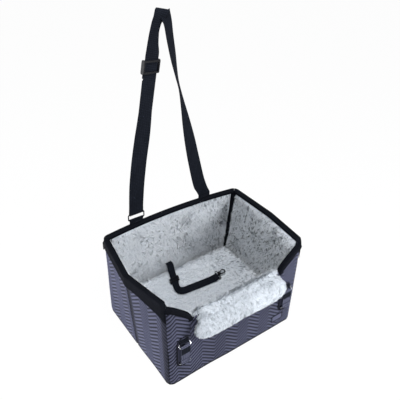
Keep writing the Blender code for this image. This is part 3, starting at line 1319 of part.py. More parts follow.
def cut_from(body, tool):
    """A bored hole: an exact Boolean difference with a tool kept among the cutters."""
    CUTTERS.objects.link(tool)
    tool.hide_render = True
    tool.display_type = "WIRE"
    cut = body.modifiers.new("bore", "BOOLEAN")
    cut.operation = "DIFFERENCE"
    cut.object = tool


def main():
    start_clean()
    finish = {
        "cover": material("quilted_fabric", (0.075, 0.075, 0.105), 0.9),
        "binding": material("woven_binding", (0.018, 0.018, 0.024), 0.85),
        "web": material("webbing", (0.014, 0.014, 0.02), 0.8),
        "board": material("stiffener_board", (0.30, 0.24, 0.17), 0.8),
        "foam": material("foam", (0.75, 0.72, 0.6), 0.95),
        "fur": material("faux_fur", (0.55, 0.58, 0.64), 1.0),
        "metal": material("dark_metal", (0.06, 0.06, 0.065), 0.35, 1.0),
        "label": material("woven_label", (0.035, 0.035, 0.045), 0.8),
    }
    front, side, back = build_walls(finish)
    build_base(finish)
    build_bindings(finish, side, back)
    build_scoop_bindings(finish, front)
    build_pipings(finish)
    build_zips(finish)
    build_fold(finish)
    build_flap(finish)
    build_keepers(finish)
    build_label(finish)
    build_strap(finish)
    build_tether(finish)


main()
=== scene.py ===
import json
import math

import bmesh
import bpy
import numpy as np
from mathutils import Matrix, Vector


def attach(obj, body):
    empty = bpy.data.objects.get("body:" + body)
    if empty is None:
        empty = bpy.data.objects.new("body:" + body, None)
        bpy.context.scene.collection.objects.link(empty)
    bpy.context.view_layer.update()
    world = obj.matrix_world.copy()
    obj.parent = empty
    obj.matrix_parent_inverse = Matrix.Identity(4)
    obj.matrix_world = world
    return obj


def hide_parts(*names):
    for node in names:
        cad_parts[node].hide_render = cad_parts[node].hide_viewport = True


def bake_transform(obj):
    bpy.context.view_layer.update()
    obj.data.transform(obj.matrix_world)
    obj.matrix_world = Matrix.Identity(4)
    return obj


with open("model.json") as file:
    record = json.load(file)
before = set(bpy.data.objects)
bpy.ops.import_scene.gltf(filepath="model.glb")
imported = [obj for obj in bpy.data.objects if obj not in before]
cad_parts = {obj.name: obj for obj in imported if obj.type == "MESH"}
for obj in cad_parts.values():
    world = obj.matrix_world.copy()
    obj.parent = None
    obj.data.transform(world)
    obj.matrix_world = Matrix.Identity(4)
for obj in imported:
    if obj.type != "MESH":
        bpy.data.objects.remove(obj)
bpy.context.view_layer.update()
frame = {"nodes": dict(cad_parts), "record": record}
bothSides = (("left", -1), ("right", 1))
mirror = {1: np.array([1.0, 1.0, 1.0]), -1: np.array([-1.0, 1.0, 1.0])}
flipped = mirror[-1][:2]
upwards = np.array([0.0, 0.0, 1.0])


# small helpers for colours, nodes and meshes

def linear(code):
    # each sRGB part becomes linear by the sRGB curve
    parts = np.array([int(code[i:i + 2], 16) for i in (0, 2, 4)]) / 255
    flat = np.where(parts <= 0.04045, parts / 12.92, ((parts + 0.055) / 1.055) ** 2.4)
    return (*map(float, flat), 1.0)


def addNode(tree, kind, settings=None, links=None):
    # settings are inputs where the node has one of that name, and its own properties otherwise
    node = tree.nodes.new(kind)
    for name, value in (settings or {}).items():
        if name in node.inputs:
            node.inputs[name].default_value = value
        else:
            setattr(node, name, value)
    for name, source in (links or {}).items():
        tree.links.new(source, node.inputs[name])
    return node


def emptyTree(owner):
    # the owner's node tree, with nothing in it
    owner.use_nodes = True
    owner.node_tree.nodes.clear()
    return owner.node_tree


def newMaterial(name, settings):
    # a principled shader with the given inputs, wired to the output
    made = bpy.data.materials.new(name)
    tree = emptyTree(made)
    shader = addNode(tree, "ShaderNodeBsdfPrincipled", settings)
    addNode(tree, "ShaderNodeOutputMaterial", links={"Surface": shader.outputs[0]})
    return made, tree, shader


def tinted(tree, shader, source, *stops):
    # the base colour is a ramp through hex colours at the given places
    node = addNode(tree, "ShaderNodeValToRGB", links={"Fac": source})
    elements = node.color_ramp.elements
    while len(elements) < len(stops):
        elements.new(0.5)
    for element, (place, code) in zip(elements, stops):
        element.position = place
        element.color = linear(code)
    tree.links.new(node.outputs[0], shader.inputs["Base Color"])


def bumped(tree, shader, height, strength, distance=0.0004):
    # the height, times the distance, tilts the shading by the strength
    bump = addNode(tree, "ShaderNodeBump", {"Strength": strength, "Distance": distance}, {"Height": height})
    tree.links.new(bump.outputs[0], shader.inputs["Normal"])


def math2(tree, operation, first, second):
    # one sum on two values, each a number or a socket
    node = addNode(tree, "ShaderNodeMath", {"operation": operation})
    for index, value in enumerate((first, second)):
        if isinstance(value, (int, float)):
            node.inputs[index].default_value = value
        else:
            tree.links.new(value, node.inputs[index])
    return node.outputs[0]


def varied(tree, tone, noise, share):
    # the tone, made lighter or darker by a share of the noise's distance from its middle
    return math2(tree, "ADD", tone, math2(tree, "MULTIPLY", math2(tree, "SUBTRACT", noise, 0.5), share))


def weighted(tree, first, firstShare, second, secondShare):
    # the sum of two values, each times its share
    return math2(tree, "ADD", math2(tree, "MULTIPLY", first, firstShare), math2(tree, "MULTIPLY", second, secondShare))


def objectPlace(tree):
    # the place on the piece itself, so that a finish moves with it
    return addNode(tree, "ShaderNodeTexCoord").outputs["Object"]


def clouds(tree, place, size, detail=4.0):
    # soft patches of about the given size, from 0 to 1
    return addNode(tree, "ShaderNodeTexNoise", {"Scale": 1 / size, "Detail": detail}, {"Vector": place}).outputs["Fac"]


def bands(tree, place, way, width, settings=None):
    # light and dark bands in turn, one pair to a width
    settings = {"wave_type": "BANDS", "bands_direction": way, "Scale": 1 / (width * 6.28), **(settings or {})}
    return addNode(tree, "ShaderNodeTexWave", settings, {"Vector": place}).outputs["Fac"]


def unit(vectors):
    # each vector over its own length
    vectors = np.asarray(vectors, float)
    return vectors / np.linalg.norm(vectors, axis=-1, keepdims=True)


def blendOf(first, second, share):
    # the first, plus the share of the way to the second
    return first + (second - first) * share


def runOf(points):
    # the distance along the first axis up to each of its points
    steps = np.linalg.norm(np.diff(points, axis=0), axis=-1)
    return np.concatenate([np.zeros_like(steps[:1]), np.cumsum(steps, axis=0)])


def cloudNoise(points, cell, seed):
    # value noise: random numbers on a lattice of the cell's size, blended smoothly, from -1 to 1
    scaled = np.asarray(points, float) / cell
    base = np.floor(scaled).astype(np.int64)
    part = scaled - base
    part = part * part * (3 - 2 * part)
    total = np.zeros(scaled.shape[:-1])
    for corner in range(8):
        step = np.array([(corner >> k) & 1 for k in range(3)])
        key = base + step
        mixed = key[..., 0] * 73856093 ^ key[..., 1] * 19349663 ^ key[..., 2] * 83492791 ^ seed * 15485863
        mixed = (mixed ^ (mixed >> 13)) * 1274126177
        value = ((mixed >> 7) & 0xFFFF) / 65535
        total += value * np.prod(np.where(step, part, 1 - part), axis=-1)
    return total * 2 - 1


def gridFaces(rows, columns, closeColumns=False):
    # a quad between each four neighbours of a grid, and from its last column to its first where closed
    index = np.arange(rows * columns).reshape(rows, columns)
    if closeColumns:
        index = np.concatenate([index, index[:, :1]], axis=1)
    corners = (index[:-1, :-1], index[:-1, 1:], index[1:, 1:], index[1:, :-1])
    return np.stack(corners, axis=-1).reshape(-1, 4)


def newMesh(name, points, faces, attributes=None, uv=None, sharpDeg=50):
    # a smooth mesh, sharp where faces meet at more than the angle, with values by point
    mesh = bpy.data.meshes.new(name)
    mesh.from_pydata(np.asarray(points, float).reshape(-1, 3), [], faces)
    for key, values in (attributes or {}).items():
        layer = mesh.attributes.new(key, "FLOAT", "POINT")
        layer.data.foreach_set("value", np.asarray(values, np.float32).ravel())
    if uv is not None:
        corner = np.empty(len(mesh.loops), int)
        mesh.loops.foreach_get("vertex_index", corner)
        spread = uv.reshape(-1, 2)[corner].astype(np.float32)
        mesh.uv_layers.new(name="cloth").data.foreach_set("uv", spread.ravel())
    mesh.polygons.foreach_set("use_smooth", np.ones(len(mesh.polygons), bool))
    if sharpDeg:
        mesh.set_sharp_from_angle(angle=math.radians(sharpDeg))
    return mesh


def linked(name, data):
    # an object in the scene for the data
    made = bpy.data.objects.new(name, data)
    bpy.context.scene.collection.objects.link(made)
    return made


def newPiece(name, mesh, finish, body, nodes=()):
    # a piece with one finish, on its body and in place of its nodes
    piece = linked(name, mesh)
    mesh.materials.clear()
    mesh.materials.append(finishes[finish])
    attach(piece, body)
    if nodes:
        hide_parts(*nodes)
    return piece


def fromGrid(name, grid, finish, nodes, side, attributes=None, uv=None, sharpDeg=50):
    # an open sheet of the seat; its mirror on the left side turns its faces
    faces = gridFaces(*grid.shape[:2])
    mesh = newMesh(name, grid, faces[:, ::-1] if side < 0 else faces, attributes, uv, sharpDeg)
    return newPiece(name, mesh, finish, "seat", nodes)


def shellPiece(name, shape, finish, nodes, attributes=None, body="seat", sharpDeg=50):
    # a piece from a closed shell's points, faces and cloth coordinates
    points, faces, uv = shape
    return newPiece(name, newMesh(name, points, faces, attributes, uv, sharpDeg), finish, body, nodes)


def withoutParent(piece):
    # the piece is taken off its body and follows none
    piece.parent = None
    return piece


# camera, lamps and floor

photoView = {"azimuth": -37.10, "elevation": 34.93, "distance": 1.6517, "roll": 2.93,
             "target": (0.2, 0.2919, 0.15), "lens": 44.85, "sensor": 36.0, "clipEnd": 20.0}
# each soft box: its place, the point it looks at, its size and its power
softBoxes = {
    "sideBox": ((-1.8, 0.70, 0.28), (0.0, 0.0, 0.12), 0.7, 56.0),
    "mainBox": ((1.05, -1.50, 0.95), (0.0, 0.0, 0.15), 0.9, 31.0),
    "topBox": ((-0.40, -0.55, 1.85), (0.0, 0.0, 0.15), 0.8, 34.0),
    "frontBox": ((0.42, -0.66, 0.10), (0.10, -0.16, 0.08), 0.25, 1.9),
}
studio = {"world": 0.25, "floorOwnLight": 0.97, "floorHalf": 9.0, "floorHeight": -0.0005}


def makeCamera():
    # the camera stands off its target by the distance, and turns about its own axis by the roll
    azimuth, elevation, roll = (math.radians(photoView[k]) for k in ("azimuth", "elevation", "roll"))
    back = Vector((math.sin(azimuth) * math.cos(elevation), -math.cos(azimuth) * math.cos(elevation),
                   math.sin(elevation)))
    right = Vector((math.cos(azimuth), math.sin(azimuth), 0.0))
    up = back.cross(right)
    across = right * math.cos(roll) + up * math.sin(roll)
    upright = up * math.cos(roll) - right * math.sin(roll)
    data = bpy.data.cameras.new("photoCamera")
    data.lens, data.sensor_width, data.clip_end = (photoView[k] for k in ("lens", "sensor", "clipEnd"))
    camera = linked("photoCamera", data)
    turned = Matrix((across, upright, back)).transposed().to_4x4()
    camera.matrix_world = Matrix.Translation(Vector(photoView["target"]) + back * photoView["distance"]) @ turned
    bpy.context.scene.camera = camera


def addLamp(name, place, aim, size, power):
    # a round soft box that looks at its aim
    data = bpy.data.lights.new(name, "AREA")
    data.shape, data.size, data.energy = "DISK", size, power
    lamp = linked(name, data)
    lamp.location = place
    lamp.rotation_euler = (Vector(place) - Vector(aim)).to_track_quat("Z", "Y").to_euler()


def whiteToCamera(tree, dim, white, share=None):
    # camera, glossy and transmission rays see the white by the share, and all other rays the dim
    path = addNode(tree, "ShaderNodeLightPath").outputs
    seen = math2(tree, "MAXIMUM", path["Is Camera Ray"], path["Is Glossy Ray"])
    seen = math2(tree, "MAXIMUM", seen, path["Is Transmission Ray"])
    if share is not None:
        seen = math2(tree, "MULTIPLY", seen, share)
    mixed = addNode(tree, "ShaderNodeMixShader")
    for index, source in enumerate((seen, dim.outputs[0], white.outputs[0])):
        tree.links.new(source, mixed.inputs[index])
    return mixed.outputs[0]


def makeStage():
    # four soft boxes; the world and floor show white to the camera and light the object less
    for name, settings in softBoxes.items():
        addLamp(name, *settings)
    plainWhite = {"Color": (1, 1, 1, 1), "Strength": 1.0}
    world = bpy.data.worlds.new("studioWorld")
    tree = emptyTree(world)
    dim = addNode(tree, "ShaderNodeBackground", {"Color": linear("f4f8ff"), "Strength": studio["world"]})
    white = addNode(tree, "ShaderNodeBackground", plainWhite)
    addNode(tree, "ShaderNodeOutputWorld", links={"Surface": whiteToCamera(tree, dim, white)})
    bpy.context.scene.world = world
    bpy.context.scene.view_settings.view_transform = "Standard"

    half, height = studio["floorHalf"], studio["floorHeight"]
    corners = [(x * half, y * half, height) for x, y in ((-1, -1), (1, -1), (1, 1), (-1, 1))]
    mesh = newMesh("studioFloor", corners, [(0, 1, 2, 3)])
    floor = linked("studioFloor", mesh)
    made = bpy.data.materials.new("palePaperFloor")
    tree = emptyTree(made)
    paper = addNode(tree, "ShaderNodeBsdfDiffuse", {"Color": linear("f2f3f5")})
    glow = addNode(tree, "ShaderNodeEmission", plainWhite)
    surface = whiteToCamera(tree, paper, glow, studio["floorOwnLight"])
    addNode(tree, "ShaderNodeOutputMaterial", links={"Surface": surface})
    mesh.materials.append(made)


# finishes

# groove and ridge are the ends of the cloth's ramp: on the quilting, painted shade in the grooves and a painted sheen
# on the ridges; on the keeper patches and label, their dark borders and lighter middles
clothFinish = {"groove": "14151c", "ridge": "494b5e", "thread": 0.0011, "patch": 0.09, "fleck": 0.0035}
# deep: the roots and the cloth under the pile, partly undercoat and partly painted shade deep in the pile
furFinish = {"deep": "4a5259", "low": "8d959d", "mid": "c8cfd7", "tip": "f3f6f9", "patch": 0.03}


def quiltedOxford():
    # polyester oxford cloth, pressed hot into chevrons: a soft sheen, the ridges lighter as a painted sheen and the
    # grooves darker as painted shade
    made, tree, shader = newMaterial("quiltedOxford", {
        "Roughness": 0.70, "Specular IOR Level": 0.05, "Sheen Weight": 0.06, "Sheen Roughness": 0.45,
        "Sheen Tint": linear("c8cbe6")})
    place = objectPlace(tree)
    ridge = addNode(tree, "ShaderNodeAttribute", {"attribute_name": "ridge"}).outputs["Fac"]
    tone = varied(tree, ridge, clouds(tree, place, clothFinish["patch"], 3.0), 0.35)
    tone = varied(tree, tone, clouds(tree, place, clothFinish["fleck"], 2.0), 0.30)
    # the ribs' height sets the colour: painted shade in the grooves, a painted sheen on the ridges
    tinted(tree, shader, tone, (0.05, clothFinish["groove"]), (0.95, clothFinish["ridge"]))
    # threads cross every 1.1 mm, coarser than real oxford so that they show
    crossing = [bands(tree, place, way, clothFinish["thread"], {"Distortion": 1.0, "Detail": 1.0})
                for way in ("Z", "DIAGONAL")]
    bumped(tree, shader, math2(tree, "MULTIPLY", *crossing), 0.22)
    return made


def plushPile():
    # polyester plush: pale tips, roots darker as the undercoat and as painted shade deep in the pile, light scattered
    # in the pile
    made, tree, shader = newMaterial("plushPile", {"Roughness": 0.92, "Specular IOR Level": 0.06,
                                                   "Sheen Weight": 0.22, "Sheen Roughness": 0.6})
    tone = addNode(tree, "ShaderNodeAttribute", {"attribute_name": "tone"}).outputs["Fac"]
    tone = varied(tree, tone, clouds(tree, objectPlace(tree), furFinish["patch"], 3.0), 0.08)
    tinted(tree, shader, tone, (0.0, furFinish["deep"]), (0.32, furFinish["low"]), (0.62, furFinish["mid"]),
           (1.0, furFinish["tip"]))
    return made


def wovenTape(name, dark, light, rib, specular):
    # woven polyester tape: ribs across its run, a dull face
    made, tree, shader = newMaterial(name, {"Roughness": 0.85, "Specular IOR Level": specular})
    place = addNode(tree, "ShaderNodeUVMap", {"uv_map": "cloth"}).outputs[0]
    across = math2(tree, "MULTIPLY", bands(tree, place, "X", rib * 1.5), 0.5)
    weave = math2(tree, "MULTIPLY", bands(tree, place, "Y", rib), math2(tree, "ADD", across, 0.5))
    worn = clouds(tree, objectPlace(tree), 0.02)
    tinted(tree, shader, weighted(tree, weave, 0.6, worn, 0.5), (0.1, dark), (0.9, light))
    bumped(tree, shader, weave, 0.5)
    return made


def grainyTape(name, dark, light, thread, specular):
    # the same tape where it is too small for ribs of its own: threads by place
    made, tree, shader = newMaterial(name, {"Roughness": 0.75, "Specular IOR Level": specular})
    place = objectPlace(tree)
    threads = bands(tree, place, "Z", thread, {"Distortion": 0.8})
    worn = clouds(tree, place, 0.006, 3.0)
    tinted(tree, shader, weighted(tree, threads, 0.5, worn, 0.5), (0.2, dark), (0.8, light))
    bumped(tree, shader, threads, 0.5)
    return made


def wornMetal(name, settings, dark, light, lightAt, roughness):
    # plated or lacquered wire: hazy wear marks change its colour and how sharply it mirrors the lamps
    made, tree, shader = newMaterial(name, settings)
    wear = clouds(tree, objectPlace(tree), 0.004)
    tinted(tree, shader, wear, (0.3, dark), (lightAt, light))
    rough = addNode(tree, "ShaderNodeMapRange", {"To Min": roughness[0], "To Max": roughness[1]}, {"Value": wear})
    tree.links.new(rough.outputs[0], shader.inputs["Roughness"])
    bumped(tree, shader, wear, 0.05)
    return made


def plainCore(name, dark, light, grain):
    # foam or fibre board inside the walls, open-celled or pressed: dull, with small cells
    made, tree, shader = newMaterial(name, {"Roughness": 0.9})
    cells = addNode(tree, "ShaderNodeTexVoronoi", {"Scale": 1 / grain}, {"Vector": objectPlace(tree)})
    tinted(tree, shader, cells.outputs["Distance"], (0.1, dark), (0.8, light))
    bumped(tree, shader, cells.outputs["Distance"], 0.3, 0.0005)
    return made


finishes = {
    "cover": quiltedOxford(),
    "fur": plushPile(),
    "binding": wovenTape("grosgrainBinding", "06070a", "14161c", 0.0016, 0.02),
    "web": wovenTape("ribbedWebbing", "0b0d12", "191c23", 0.0021, 0.02),
    # the keepers' black webbing, lifted to grey as a painted reflection
    "paintedSheenWeb": wovenTape("webbingPaintedSheen", "23252f", "5b5d70", 0.0021, 0.04),
    "tape": grainyTape("sewnTape", "050508", "15171d", 0.0014, 0.02),
    "teeth": grainyTape("mouldedNylon", "0a0a0d", "24252b", 0.0008, 0.35),
    "thread": grainyTape("bondedThread", "0c0d11", "26282f", 0.0006, 0.04),
    # black lacquer over pressed steel wire gives soft small glints, bright nickel a sharp one
    "metal": wornMetal("blackLacqueredSteel", {"Specular IOR Level": 0.12}, "050507", "15161a", 0.8, (0.38, 0.58)),
    "glossyMetal": wornMetal("brightNickel", {"Metallic": 1.0}, "6d6f75", "c9ccd2", 0.75, (0.112, 0.224)),
    "board": plainCore("pressedBoard", "17181a", "2b2c2f", 0.003),
    "foam": plainCore("openCellFoam", "a39d86", "d6d0b8", 0.002),
}


# the box's plan, from the part's own driving sizes

boxPlan = {"width": 0.415, "depth": 0.320, "height": 0.275, "backFlare": 0.009, "frontFlare": 0.0055,
           "taper": 0.013, "bulge": 0.020, "dip": 0.010, "backBow": 0.010, "backRise": 0.003, "radius": 0.018,
           "cornerDrop": 0.015, "seamShare": 0.5, "wallEnd": 0.16, "linerWedge": 0.0035,
           "wedgeReach": {-1: 0.001, 1: 0.003}, "wedgeHalf": 0.016, "lift": 0.0005}
scoopPlan = {"halfWidth": 0.139, "floor": 0.197, "closeSteps": (-0.003, 0.0, 0.002, 0.005, 0.009),
             "run": 0.05, "climb": 0.063,
             "curve": ((0, 0), (0.02, 0.14), (0.10, 0.26), (0.25, 0.41), (0.50, 0.62), (0.75, 0.82), (1, 1))}


def planCorner(sideX, sideY, rise):
    # half the width plus the flare, and half the depth less the taper, both times the rise
    flare = boxPlan["backFlare"] if sideY > 0 else boxPlan["frontFlare"]
    return np.array([sideX * (boxPlan["width"] / 2 + flare * rise),
                     sideY * (boxPlan["depth"] / 2 - boxPlan["taper"] * rise)])


def planCrease(rise):
    # half the width, plus the back's flare and the bulge times the rise, at mid depth
    return np.array([boxPlan["width"] / 2 + (boxPlan["backFlare"] + boxPlan["bulge"]) * rise, 0.0])


def cornerArc(before, corner, after, shares):
    # a circle that touches both sides of the corner; share 0 lies on the first side, 1 on the second
    toBefore, toAfter = unit(before - corner), unit(after - corner)
    half = math.acos(float(np.clip(toBefore @ toAfter, -1, 1))) / 2
    start = corner + toBefore * boxPlan["radius"] / math.tan(half)
    centre = corner + unit(toBefore + toAfter) * boxPlan["radius"] / math.sin(half)
    first = math.atan2(start[1] - centre[1], start[0] - centre[0])
    angles = first + (math.pi - 2 * half) * np.asarray(shares, float)
    normals = np.stack([np.cos(angles), np.sin(angles)], axis=1)
    return centre + boxPlan["radius"] * normals, normals


def frontArc(rise, shares):
    # the right front corner, from the front wall to the side
    return cornerArc(planCorner(-1, -1, rise), planCorner(1, -1, rise), planCrease(rise), shares)


def backArc(rise, shares):
    # the right back corner, from the side to the back wall
    return cornerArc(planCrease(rise), planCorner(1, 1, rise), planCorner(-1, 1, rise), shares)


def onArc(arcOf, rise, share):
    # one point on a corner's arc, and the normal there
    points, normals = arcOf(rise, [share])
    return points[0], normals[0]


def sideLine(rise, frontShares, backShares, steps):
    # round the front corner, straight to the crease, straight to the back corner and round it
    frontPoints, frontNormals = frontArc(rise, frontShares)
    backPoints, backNormals = backArc(rise, backShares)
    frontEnd, frontNormal = onArc(frontArc, rise, 1.0)
    backStart, backNormal = onArc(backArc, rise, 0.0)
    crease = planCrease(rise)
    shares = np.linspace(0, 1, steps + 1)[1:, None]
    mitre = unit(frontNormal + backNormal)
    mitre = mitre / (mitre @ frontNormal)
    ahead = blendOf(frontEnd, crease, shares)
    behind = blendOf(crease, backStart, shares[:-1])
    points = np.concatenate([frontPoints, ahead, behind, backPoints])
    normals = np.concatenate([frontNormals, np.tile(frontNormal, (steps - 1, 1)), mitre[None],
                              np.tile(backNormal, (steps - 1, 1)), backNormals])
    return points, normals


def backLine(rise, arcShares, steps):
    # round the right back corner, across a bowed back, and round the left one
    arcPoints, arcNormals = backArc(rise, arcShares)
    end = onArc(backArc, rise, 1.0)[0]
    across = np.linspace(1, -1, steps + 2)[1:-1]
    bow = boxPlan["backBow"] * rise
    points = np.stack([end[0] * across, end[1] + bow * (1 - across**2)], axis=1)
    normals = unit(np.stack([2 * bow * across / end[0], np.ones_like(across)], axis=1))
    return (np.concatenate([arcPoints, points, arcPoints[::-1] * flipped]),
            np.concatenate([arcNormals, normals, arcNormals[::-1] * flipped]))


def frontLine(rise, turnShares, across):
    # round part of the left corner, across the flat, and round part of the right one
    arcPoints, arcNormals = frontArc(rise, turnShares)
    end = arcPoints[0]
    points = np.stack([end[0] * across, np.full_like(across, end[1])], axis=1)
    normals = np.tile([0.0, -1.0], (len(points), 1))
    return (np.concatenate([arcPoints[:0:-1] * flipped, points, arcPoints[1:]]),
            np.concatenate([arcNormals[:0:-1] * flipped, normals, arcNormals[1:]]))


def cornerRim(y):
    # the height less the drop's share of the way round the front corner
    front, side = (onArc(frontArc, 1.0, share)[0][1] for share in (0.0, 1.0))
    return boxPlan["height"] - boxPlan["cornerDrop"] * (side - y) / (side - front)


def sideRims(points):
    # the height less a dip that is deepest at the crease, and the falling rim round the corner
    sideY = onArc(frontArc, 1.0, 1.0)[0][1]
    y = points[:, 1]
    dip = boxPlan["dip"] * np.clip(1 - np.abs(y) / abs(sideY), 0, 1)
    return np.where(y < sideY, cornerRim(y), boxPlan["height"] - dip)


def backRims(points):
    # the height plus a rise that fades with the square of the way to the corner
    reach = onArc(backArc, 1.0, 1.0)[0][0]
    return boxPlan["height"] + boxPlan["backRise"] * np.clip(1 - (points[:, 0] / reach) ** 2, 0, None)


def frontY(height):
    # how deep the front's face lies at a height
    return onArc(frontArc, height / boxPlan["height"], 0.0)[0][1]


def frontEnd(height):
    # how far the front's flat reaches across at a height
    return onArc(frontArc, height / boxPlan["height"], 0.0)[0][0]


def scoopEdge(steps=40):
    # the scoop's edge from its floor to the corner: place across and height, through the plan's shares
    out, rise = np.array(scoopPlan["curve"], float).T
    run = runOf(np.column_stack([out * scoopPlan["run"], rise * scoopPlan["climb"]]))
    fine = np.linspace(0, run[-1], steps)
    across = blendOf(scoopPlan["halfWidth"], frontEnd(frontCrest), np.interp(fine, run, out))
    return across, blendOf(scoopPlan["floor"], frontCrest, np.interp(fine, run, rise))


def frontRims(points):
    # the scoop's floor in the middle, its edge beside that, and the falling rim past the flat's end
    across, height = scoopEdge()
    x, end = np.abs(points[:, 0]), frontEnd(frontCrest)
    scoop = np.where(x < scoopPlan["halfWidth"], scoopPlan["floor"], np.interp(x, across, height))
    return np.where(x > end, cornerRim(points[:, 1]), scoop)


frontCrest = boxPlan["height"] - boxPlan["cornerDrop"]
turnShares = np.linspace(0, boxPlan["seamShare"], 9)
sideTurnShares = np.linspace(boxPlan["seamShare"], 1, 9)
backTurnShares = np.linspace(0, 0.5 - boxPlan["wallEnd"], 6)


def frontStations(count):
    # even across the flat, with the scoop's steep ends in close steps
    edge = scoopPlan["halfWidth"] / frontEnd(frontCrest)
    across = np.linspace(-1, 1, count)
    close = edge + np.array(scoopPlan["closeSteps"])
    return np.unique(np.round(np.concatenate([across, close, -close]), 4))


def wallSheet(line, rimsOf, rows, bottom, drop, depth, side):
    # each station runs from the bottom to its own rim; the plan blends from the floor's to the rim's
    lowPoints, lowNormals = line(0.0)
    highPoints, highNormals = line(1.0)
    rims = rimsOf(highPoints) - drop
    z = bottom + (rims - bottom)[None] * np.linspace(0, 1, rows + 1)[:, None]
    share = (z / boxPlan["height"])[..., None]
    flat = blendOf(lowPoints[None], highPoints[None], share)
    normals = blendOf(lowNormals[None], highNormals[None], share)
    place = flat - normals * depth(flat, z)[..., None]
    points = np.concatenate([place, z[..., None]], axis=-1)
    normals = unit(np.concatenate([normals, np.zeros_like(z)[..., None]], axis=-1))
    return points * mirror[side], normals * mirror[side]


def runAlong(line, origin):
    # distance along a wall at half height, counted from the station nearest the origin
    points = (line(0.0)[0] + line(1.0)[0]) / 2
    run = runOf(points)
    return run - run[int(np.argmin(np.abs(points[:, origin])))]


# quilted covers

quilt = {"pitch": 0.0122, "sidePitch": 0.013, "rise": 0.0285, "sideRise": 0.029, "frontPeriod": 0.075,
         "frontPeak": -0.182, "sidePeriod": 0.0675, "sidePeak": -0.119, "tall": 0.0016, "proud": 0.0004,
         "cloth": 0.0024, "cell": 0.0016, "hem": 0.004, "hemFade": 0.006, "calm": 0.9, "calmAt": -0.007,
         "calmWide": 0.008, "cornerBand": 0.011, "cornerFade": 0.007, "cornerLeast": 0.30, "wave": 0.0012,
         "waveSize": 0.09, "waveLeast": -0.0006, "foldDeep": 0.0022, "foldWide": 0.0022}


def chevrons(run, z, period, peak, rise, pitch):
    # ribs follow lines that zigzag: the height of a line falls and rises by the distance to the nearest peak
    zigzag = np.abs(((run - peak) / period) % 1 * 2 - 1)
    phase = (z - rise * zigzag) / pitch
    return (0.5 - 0.5 * np.cos(2 * np.pi * phase)) ** 0.8


def withFlange(points, normals, deep, *layers):
    # one more row and column all round, turned inwards by the cloth's thickness
    wide = ((1, 1), (1, 1))
    padded = np.pad(points, (*wide, (0, 0)), mode="edge")
    ways = np.pad(normals, (*wide, (0, 0)), mode="edge")
    border = np.ones(padded.shape[:2], bool)
    border[1:-1, 1:-1] = False
    padded[border] -= ways[border] * deep
    return padded, *(np.pad(layer, wide, mode="edge") for layer in layers)


def quiltedCover(name, line, rimsOf, origin, period, peak, rise, side=1, crease=False):
    # a wall's sheet, pressed in by the cloth's height wherever no rib stands, and its edges turned inwards
    run = runAlong(line, origin)
    ridge = None

    def relief(flat, z):
        # the ribs fade out towards the hem, the crease and the corner, and the colour darkens with them: painted shade
        # round the corner and in the crease, darker towards the hem; slow waves move the whole cloth
        nonlocal ridge
        rib = chevrons(run[None], z, period, peak, rise, quilt["sidePitch" if crease else "pitch"])
        if crease:
            rib = rib * (1 - quilt["calm"] * np.exp(-((run[None] - quilt["calmAt"]) / quilt["calmWide"]) ** 2))
            corner = (run[None] - run[0] - quilt["cornerBand"]) / quilt["cornerFade"]
            rib = rib * np.clip(corner, quilt["cornerLeast"], 1)
        ridge = rib * np.clip((z - quilt["hem"]) / quilt["hemFade"], 0, 1)
        depth = quilt["tall"] * (1 - ridge) - quilt["proud"]
        places = np.stack([np.broadcast_to(run[None], z.shape), z, z * 0], -1)
        waves = quilt["wave"] * cloudNoise(places, quilt["waveSize"], 5)
        if crease:
            fold = np.exp(-(run[None] / quilt["foldWide"]) ** 2)
            depth = depth + fold * quilt["foldDeep"]
            # the fold's colour darkens too: painted shade in the crease
            ridge = ridge * (1 - fold)
        return depth + np.clip(waves, quilt["waveLeast"], None)

    rows = int(boxPlan["height"] / quilt["cell"])
    points, normals = wallSheet(line, rimsOf, rows, boxPlan["lift"], 0.0, relief, side)
    points, ridge = withFlange(points, normals, quilt["cloth"], ridge)
    # the ribs' height goes to the cloth's colour as painted shade in the grooves and a painted sheen on the ridges
    fromGrid(name, points, "cover", [name.replace("Quilt", "_cover")], side, {"ridge": ridge})


def makeCovers():
    quiltedCover("frontQuilt", lambda rise: frontLine(rise, turnShares, frontStations(250)), frontRims, 0,
                 quilt["frontPeriod"], quilt["frontPeak"], quilt["rise"])
    quiltedCover("backQuilt", lambda rise: backLine(rise, 1 - backTurnShares[::-1], 220), backRims, 0,
                 quilt["frontPeriod"], 0.0, quilt["rise"])
    for label, sign in bothSides:
        quiltedCover(f"{label}Quilt", lambda rise: sideLine(rise, sideTurnShares, backTurnShares, 92), sideRims, 1,
                     quilt["sidePeriod"], quilt["sidePeak"], quilt["sideRise"], side=sign, crease=True)
    print("covers: front, back and two sides quilted")


# fur

fur = {"length": 0.0075, "width": 0.0012, "lean": 0.85, "spread": 0.33, "droop": 0.175, "clump": 0.009,
       "fleck": 0.0034, "softNormal": 0.88, "wind": 0.045, "clumpWind": 0.8, "upright": 0.12, "shortest": 0.65,
       "varying": 0.5, "bendAt": 0.55, "taper": 0.8, "clumpTone": 0.03, "strayTone": 0.05, "clothToneAndShade": -0.17,
       "clothClump": 0.06}
# the flecks' strength is a place across the cabin, less fleckFrom, over fleckRun, kept in the fleckRange: stronger
# towards the right, partly the flecks seen there and partly painted shade on the right side
pileStyle = {**fur, "comb": (0.0, 0.0, -0.9), "tone": 0.80, "dark": 0.46, "fleckAbove": 0.42, "fleckFrom": 0.018,
             "fleckRun": 0.14, "fleckRange": (0.14, 1.3), "ceiling": 0.3}
floorStyle = {**pileStyle, "comb": (0.4, -0.8, 0.0), "lean": 1.0, "ceiling": 0.0816}
flapStyle = {**pileStyle, "comb": (0.2, -0.9, -0.9), "tone": 0.67, "length": 0.0085, "dark": 0.34,
             "fleckAbove": 0.38, "fleckRange": (0.6, 0.6)}
